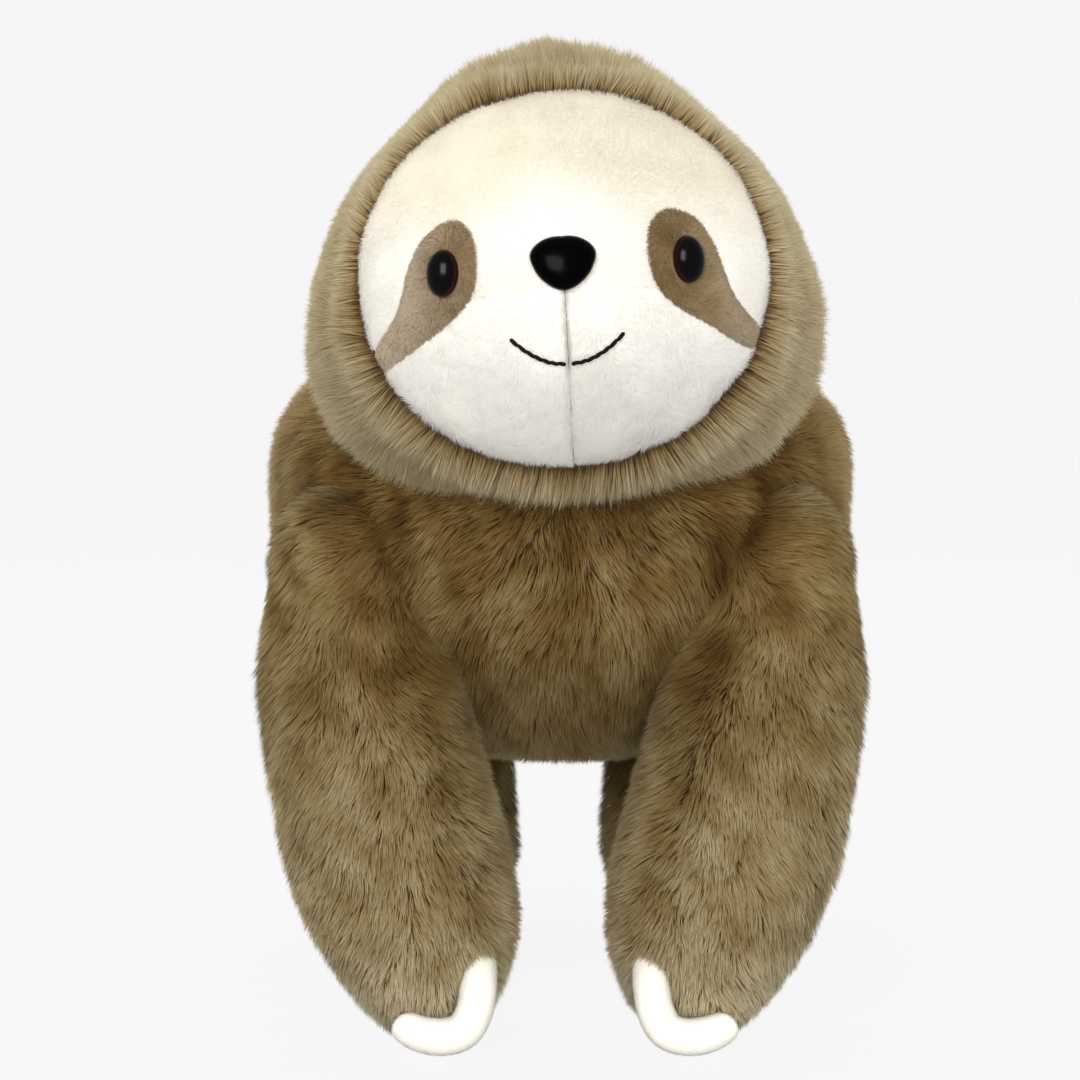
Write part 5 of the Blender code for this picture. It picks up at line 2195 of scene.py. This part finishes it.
@dataclass
class Limb:
    """A furred limb with its hooked claw."""

    form: LimbForm
    kind: LimbKind
    torso: TorsoForm
    head: HeadForm
    coat: Coat
    strands: int
    claw_scale: float
    inset: float = 6.5 * MM
    sole_inset: float = 2.2 * MM
    fur: Pile = Pile(15.5 * MM, 0.38 * MM, 23, 64, 3.6 * MM, 0.30, 8)
    # The front parting: its angle round the limb, its width, and where it ends.
    parting: float = -0.65
    parting_drift: float = 0.10
    parting_width: float = 0.2
    parting_end: Span = (0.065, 0.085)
    parting_sides: Span = (math.radians(34), math.radians(17))
    parting_fades: float = 0.35
    comb_turn: float = 0.25
    comb_waves: float = 0.03
    comb_top: Span = (-0.03, 0.01)
    comb_top_way: Span = (1.1, 0.25)
    # Where the fur is bare: inside the torso.
    buried: float = -10 * MM
    buried_above: float = 5 * MM
    # Zones: heights, shares of the limb's length, or angles from its front.
    low: Span = (0.5, 0.0)
    high: Span = (0.45, 1.0)
    paw: Span = (0.33, 0.07)
    tall: Span = (0.35, 0.75)
    sole: Span = (6 * MM, 3 * MM)
    cap: Span = (-0.050, -0.012)
    inner_ahead: Span = (0.4, -0.5)
    inner_behind: Span = (-2.4, -1.6)
    outer: Span = (0.5, 1.3)
    under_head: float = 60 * MM
    # What the zones do to the strands. Their lights and shades are painted: lighter paws, outer
    # sides and shoulder caps, and painted shade high up, on the inner front and under the head.
    low_shorter: float = 0.28
    sole_shorter: float = 0.5
    parting_raised: float = 0.25
    cap_laid: float = 0.9
    tone: float = 0.77
    paw_light: float = 0.34
    high_shade: float = 0.25
    parting_shade: float = 0.09
    cap_light: float = 0.06
    outer_light: float = 0.09
    inner_shade: float = 0.12
    under_shade: float = 0.24
    tone_drift: float = 0.10
    warm_tint: tuple[float, float, float] = (0.0, 0.015, 0.06)
    # The claw: a tube that comes down the paw and hooks outwards.
    claw_nap: Pile = Pile(
        1.1 * MM, 0.30 * MM, 62, 62, MM, 0.0, 40, bends=1, frizz=0.05, warmth=FAINT_WARMTH
    )
    claw_strands: int = 12000
    claw_radius: float = 0.0087
    claw_width: float = 0.0390
    claw_height: float = 0.0270
    claw_inside: dict[Side, float] = field(
        default_factory=lambda: {Side.LEFT: 0.0245, Side.RIGHT: 0.0222}
    )
    claw_ahead: float = 0.0310
    claw_hook: float = 0.0075
    off_floor: float = 0.6 * MM
    claw_shares: Table = (
        (0.0, -0.02, 1.22, -2.9, 0.80), (1.0, 0.0, 1.04, -1.3, 0.96), (2.0, 0.01, 0.80, 0.0, 1.0),
        (3.0, 0.05, 0.46, 0.7, 1.0), (4.0, 0.18, 0.13, 1.0, 1.0), (5.0, 0.42, 0.0, 0.95, 1.0),
        (6.0, 0.68, 0.02, 0.7, 0.98), (7.0, 0.88, 0.12, 0.4, 0.88), (8.0, 0.98, 0.20, 0.2, 0.62),
        (9.0, 1.02, 0.24, 0.1, 0.0),
    )

    @property
    def body(self) -> str:
        """The name of the limb's body."""
        return f"{self.kind.word}_{self.form.side.word}"

    def from_parting(self, points: Array) -> Array:
        """Angle round the limb from its front parting, positive outwards."""
        part = self.parting + self.parting_drift * drift(points * [0, 0, 1], 0.05, Wave.PARTING)
        return (self.form.round_angle(points) - part + math.pi) % (2 * math.pi) - math.pi

    def comb(self, points: Array, normals: Array) -> Array:
        """Lays the fur down the limb and to both sides of its front parting.

        Args:
            points: Where the strands start.
            normals: The surface's way out there.

        Returns:
            The way in which each strand lies.
        """
        form, angle = self.form, self.from_parting(points)
        most = np.where(angle < 0, *self.parting_sides)
        lean = most * np.tanh(angle / self.parting_fades) * (1 + np.cos(angle)) / 2
        down = np.tile(np.array([-form.side.value * 0.15, -0.1, -1.0]), (len(points), 1))
        from_joint = (form.joint[2] + end for end in self.comb_top)
        top = ease(*from_joint, points[:, 2])
        down[:, 0] += self.comb_top_way[0] * form.side.value * top
        down[:, 1] -= self.comb_top_way[1] * top
        aside = np.cross(normals, down) * form.side.value
        turn = self.comb_turn * drift(points, self.comb_waves, Wave.LIMB_COMB)
        lean = (lean + turn)[:, None]
        return unit(down) * np.cos(lean) + unit(aside) * np.sin(lean)

    def groom(self, roots: Roots) -> None:
        """Gives the strands their lengths, ways and tones.

        Args:
            roots: Where they start, which is changed.
        """
        form, height = self.form, roots.points[:, 2]

        def rise(span: Span) -> Array:
            """The rise over a span of shares of the limb's length."""
            return ease(span[0] * form.length, span[1] * form.length, height)

        parted = np.exp(-((self.from_parting(roots.points) / self.parting_width) ** 2))
        parted *= ease(*self.parting_end, height)
        sole = ease(*self.sole, height)
        roots.length = (1 - self.low_shorter * rise(self.low)) * (1 - self.sole_shorter * sole)
        is_arm = self.kind is LimbKind.ARM
        cap = ease(*(form.joint[2] + end for end in self.cap), height) * is_arm
        roots.upright = self.parting_raised * parted
        roots.laid = np.maximum(self.cap_laid * cap, sole)
        paw, angle = rise(self.paw), form.round_angle(roots.points)
        inner = ease(*self.inner_ahead, angle) * ease(*self.inner_behind, angle) * rise(self.tall)
        outer = ease(*self.outer, angle) * (1 - cap)
        under = closeness(self.head, roots.points, self.under_head)
        # Painted light on the paws, caps and outer sides; painted shade high up, on the inner
        # front and under the head.
        roots.tone = self.tone + self.paw_light * paw - self.high_shade * rise(self.high)
        roots.tone += self.cap_light * cap - self.parting_shade * parted
        roots.tone += self.outer_light * outer - self.inner_shade * inner
        roots.tone -= self.under_shade * under
        roots.tone += self.tone_drift * drift(roots.points, 0.02, Wave.LIMB_TONE)
        roots.tint = 1 - (1 - paw)[:, None] * np.array(self.warm_tint)

    def build(self, rng: np.random.Generator) -> None:
        """The skin, its fur, and the claw.

        Args:
            rng: The seeded source of chance.
        """
        form = self.form
        hide = ball_of(form, 48, 80, poles_on_y=False)
        height = np.maximum(read_points(hide)[:, 2], 0.0)
        swell(hide, -np.minimum(self.inset, height + self.sole_inset))
        settle(hide, f"{self.body}_hide", self.coat.fur_backing)
        nodes = tuple(f"{part}_{form.side.word}" for part in self.kind.stuffed)
        fit(hide, self.body, nodes)
        roots = scatter(hide, self.strands, rng)
        buried = self.torso.contains(roots.points, self.buried)
        above = roots.points[:, 2] > form.joint[2] - self.buried_above
        roots = roots.kept(~(buried & above))
        self.groom(roots)
        front = roots.points[:, 1] < form.joint[1] - form.forward / 2
        parts = {f"{self.body}_fur_front": front, f"{self.body}_fur_back": ~front}
        plant(self.fur, roots, self.comb, self.coat.fur, rng, parts, self.body)
        self.claw(rng)

    def claw(self, rng: np.random.Generator) -> None:
        """The stuffed hook at the paw's front, with its short nap.

        Args:
            rng: The seeded source of chance.
        """
        form, scale, side = self.form, self.claw_scale, self.form.side.value
        paw_x, paw_y, _, _ = form.station(np.array([form.length]))[:, 0]
        low = -form.length + self.off_floor + self.claw_radius * scale
        across, up, forward, girth = share_curve(self.claw_shares, np.linspace(0, 9, 90)).T
        x = paw_x + side * scale * (self.claw_width * across - self.claw_inside[form.side])
        y = paw_y - scale * (self.claw_ahead + self.claw_hook * forward)
        z = low + self.claw_height * scale * up
        path = np.stack([x, y, z], axis=1) + np.array(form.joint)
        gone = np.concatenate([[0], np.cumsum(np.linalg.norm(np.diff(path, axis=0), axis=1))])
        even = np.linspace(0, gone[-1], 64)
        path = np.stack([np.interp(even, gone, path[:, k]) for k in range(3)], axis=1)
        girth = np.interp(even, gone, np.maximum(girth, 0)) * self.claw_radius * scale
        girth[0] = 0
        name = f"{self.kind.claw}_{form.side.word}"
        made = worm_of(path, girth, 40)
        settle(made, f"{name}_hook", self.coat.white_backing)
        fit(made, self.body, (name,))
        roots = scatter(made, self.claw_strands, rng)

        def comb(points: Array, normals: Array) -> Array:
            """Lays the nap down and outwards."""
            return np.tile(np.array([side * 0.8, -0.2, -0.6]), (len(points), 1))

        parts, nap = {f"{name}_nap": slice(None)}, self.coat.white
        plant(self.claw_nap, roots, comb, nap, rng, parts, self.body)


@dataclass(frozen=True)
class Softbox:
    """A square soft light: its place, its side in metres and its power in watts."""

    name: str
    at: tuple[float, float, float]
    size: float
    watts: float
    glossy: bool = False

    def hang(self, aim: tuple[float, float, float]) -> None:
        """Adds the light.

        Args:
            aim: The point that it faces.
        """
        lamp = bpy.data.lights.new(self.name, "AREA")
        lamp.size, lamp.energy = self.size, self.watts
        made = bpy.data.objects.new(self.name, lamp)
        made.location = self.at
        way = Vector(aim) - Vector(self.at)
        made.rotation_euler = way.to_track_quat("-Z", "Y").to_euler()
        made.visible_glossy = self.glossy
        bpy.context.scene.collection.objects.link(made)


@dataclass
class Studio:
    """Pale floor and wall, soft lights and the camera."""

    camera_at: tuple[float, float, float] = (-0.0108, -1.3629, 0.394)
    pitch_down: float = math.radians(6.8)
    lens: float = 88.3
    sensor: float = 36.0
    # The backdrop: a flat floor, a round bend and a wall, as shares and in metres.
    flat: float = 0.35
    bend: float = 0.75
    floor_radius: float = 2.6
    bend_radius: float = 1.4
    wall_height: float = 3.0
    air: float = 0.4
    aim: tuple[float, float, float] = (0.0, -0.05, 0.26)
    softboxes: tuple[Softbox, ...] = (
        Softbox("key_softbox", (-0.62, -2.1, 1.1), 1.2, 34, glossy=True),
        Softbox("fill_softbox", (0.7, -2.2, 0.2), 1.2, 33),
        Softbox("top_softbox", (0.0, 1.1, 1.9), 1.6, 20),
        Softbox("rim_softbox_left", (-1.7, 0.7, 0.7), 1.0, 14),
        Softbox("rim_softbox_right", (1.7, 0.7, 0.7), 1.0, 14),
    )

    def backdrop(self) -> None:
        """A pale floor that curves up into a round wall."""
        made = unit_grid(96, 14)
        share = read_points(made) + 0.5
        angle, along = share[:, 0] * 2 * math.pi, share[:, 1]
        turn = np.clip((along - self.flat) / (self.bend - self.flat), 0, 1) * math.pi / 2
        radius = self.floor_radius * np.minimum(along / self.flat, 1)
        radius += self.bend_radius * np.sin(turn)
        height = self.bend_radius * (1 - np.cos(turn))
        height += self.wall_height * np.clip((along - self.bend) / (1 - self.bend), 0, 1)
        spots = np.stack([radius * np.cos(angle), radius * np.sin(angle), height], axis=1)
        write_points(made, spots)
        edit_whole(bpy.ops.mesh.remove_doubles, threshold=MM)
        settle(made, "backdrop", BACKDROP_PAPER.make())
        made.visible_diffuse = made.visible_glossy = False

    def build(self) -> None:
        """Sets up the whole studio."""
        scene = bpy.context.scene
        scene.view_settings.view_transform = "Standard"
        world = bpy.data.worlds.new("studio_air")
        world.use_nodes = True
        air = world.node_tree.nodes["Background"]
        air.inputs["Color"].default_value = (1, 1, 1, 1)
        air.inputs["Strength"].default_value = self.air
        scene.world = world
        self.backdrop()
        for softbox in self.softboxes:
            softbox.hang(self.aim)
        lens = bpy.data.cameras.new("camera")
        lens.lens, lens.sensor_width = self.lens, self.sensor
        made = bpy.data.objects.new("camera", lens)
        made.location = self.camera_at
        made.rotation_euler = (math.pi / 2 - self.pitch_down, 0, 0)
        scene.collection.objects.link(made)
        scene.camera = made


ARM_SHARES: Table = (
    (0.0, 0.0, 0.0, 0.8037, 0.9451), (0.13, 0.03, 0.28, 0.860, 0.956),
    (0.29, 0.14, 0.50, 0.920, 0.978), (0.49, 0.40, 0.68, 0.977, 1.0), (0.66, 0.63, 0.80, 1.0, 1.0),
    (0.80, 0.82, 0.90, 0.90, 0.94), (0.92, 0.95, 0.97, 0.655, 0.76),
    (0.975, 0.99, 0.99, 0.45, 0.56), (1.0, 1.0, 1.0, 0.27, 0.32),
)
LEG_SHARES: Table = (
    (0.0, 0.0, 0.0, 0.9884, 0.9659), (0.25, 0.2, 0.1, 0.985, 0.98), (0.50, 0.5, 0.4, 1.0, 1.0),
    (0.70, 0.8, 0.8, 0.95, 0.98), (0.87, 1.0, 1.0, 0.73, 0.80), (0.955, 1.0, 1.0, 0.50, 0.58),
    (1.0, 1.0, 1.0, 0.32, 0.38),
)


def limb_form(kind: LimbKind, side: Side) -> LimbForm:
    """The form of one limb.

    Args:
        kind: Arm or leg.
        side: Left or right.

    Returns:
        The form, in place.
    """
    if kind is LimbKind.ARM:
        joint = (side.value * 0.104, -0.0429, 0.225)
        sizes = {"root": 0.043, "width": 0.107, "depth": 0.091, "lean": 0.0395, "forward": 0.056}
        return LimbForm(joint, side, **sizes, shares=ARM_SHARES)
    joint = (side.value * 0.0705, 0.1021, 0.120)
    sizes = {"root": 0.0425, "width": 0.086, "depth": 0.088, "lean": 0.003, "forward": 0.004}
    return LimbForm(joint, side, **sizes, shares=LEG_SHARES)


def finish_washers(nodes: dict[str, Object]) -> None:
    """Gives the washers behind the face their plastic.

    Args:
        nodes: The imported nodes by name.
    """
    plastic = WASHER_PLASTIC.make()
    for name, node in nodes.items():
        if name.endswith(("washer", "washer_left", "washer_right")):
            node.data.materials.clear()
            node.data.materials.append(plastic)


LIMB_STRANDS = {LimbKind.ARM: 120000, LimbKind.LEG: 46000}
CLAW_SCALES = {LimbKind.ARM: 1.0, LimbKind.LEG: 0.88}
SEED = 20


def main() -> None:
    """Builds the toy's looks in order."""
    logging.basicConfig(level=logging.INFO, format="%(name)s: %(message)s")
    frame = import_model()
    Studio().build()
    coat = Coat()
    finish_washers(frame["nodes"])
    head, torso = HeadForm(), TorsoForm()
    forms = {(kind, side): limb_form(kind, side) for kind in LimbKind for side in Side}
    rng = np.random.default_rng(SEED)
    face = Face(head, coat)
    face.forehead(rng)
    for side in Side:
        face.muzzle(side, rng)
        face.patch(side, rng)
        face.eye(side)
        face.mouth(side)
    face.nose()
    Head(head, coat).build(rng)
    Neck(coat).build()
    Torso(torso, head, list(forms.values()), coat).build(rng)
    for (kind, _), form in forms.items():
        strands, scale = LIMB_STRANDS[kind], CLAW_SCALES[kind]
        Limb(form, kind, torso, head, coat, strands, scale).build(rng)
    bpy.context.view_layer.update()


if __name__ == "__main__":
    main()
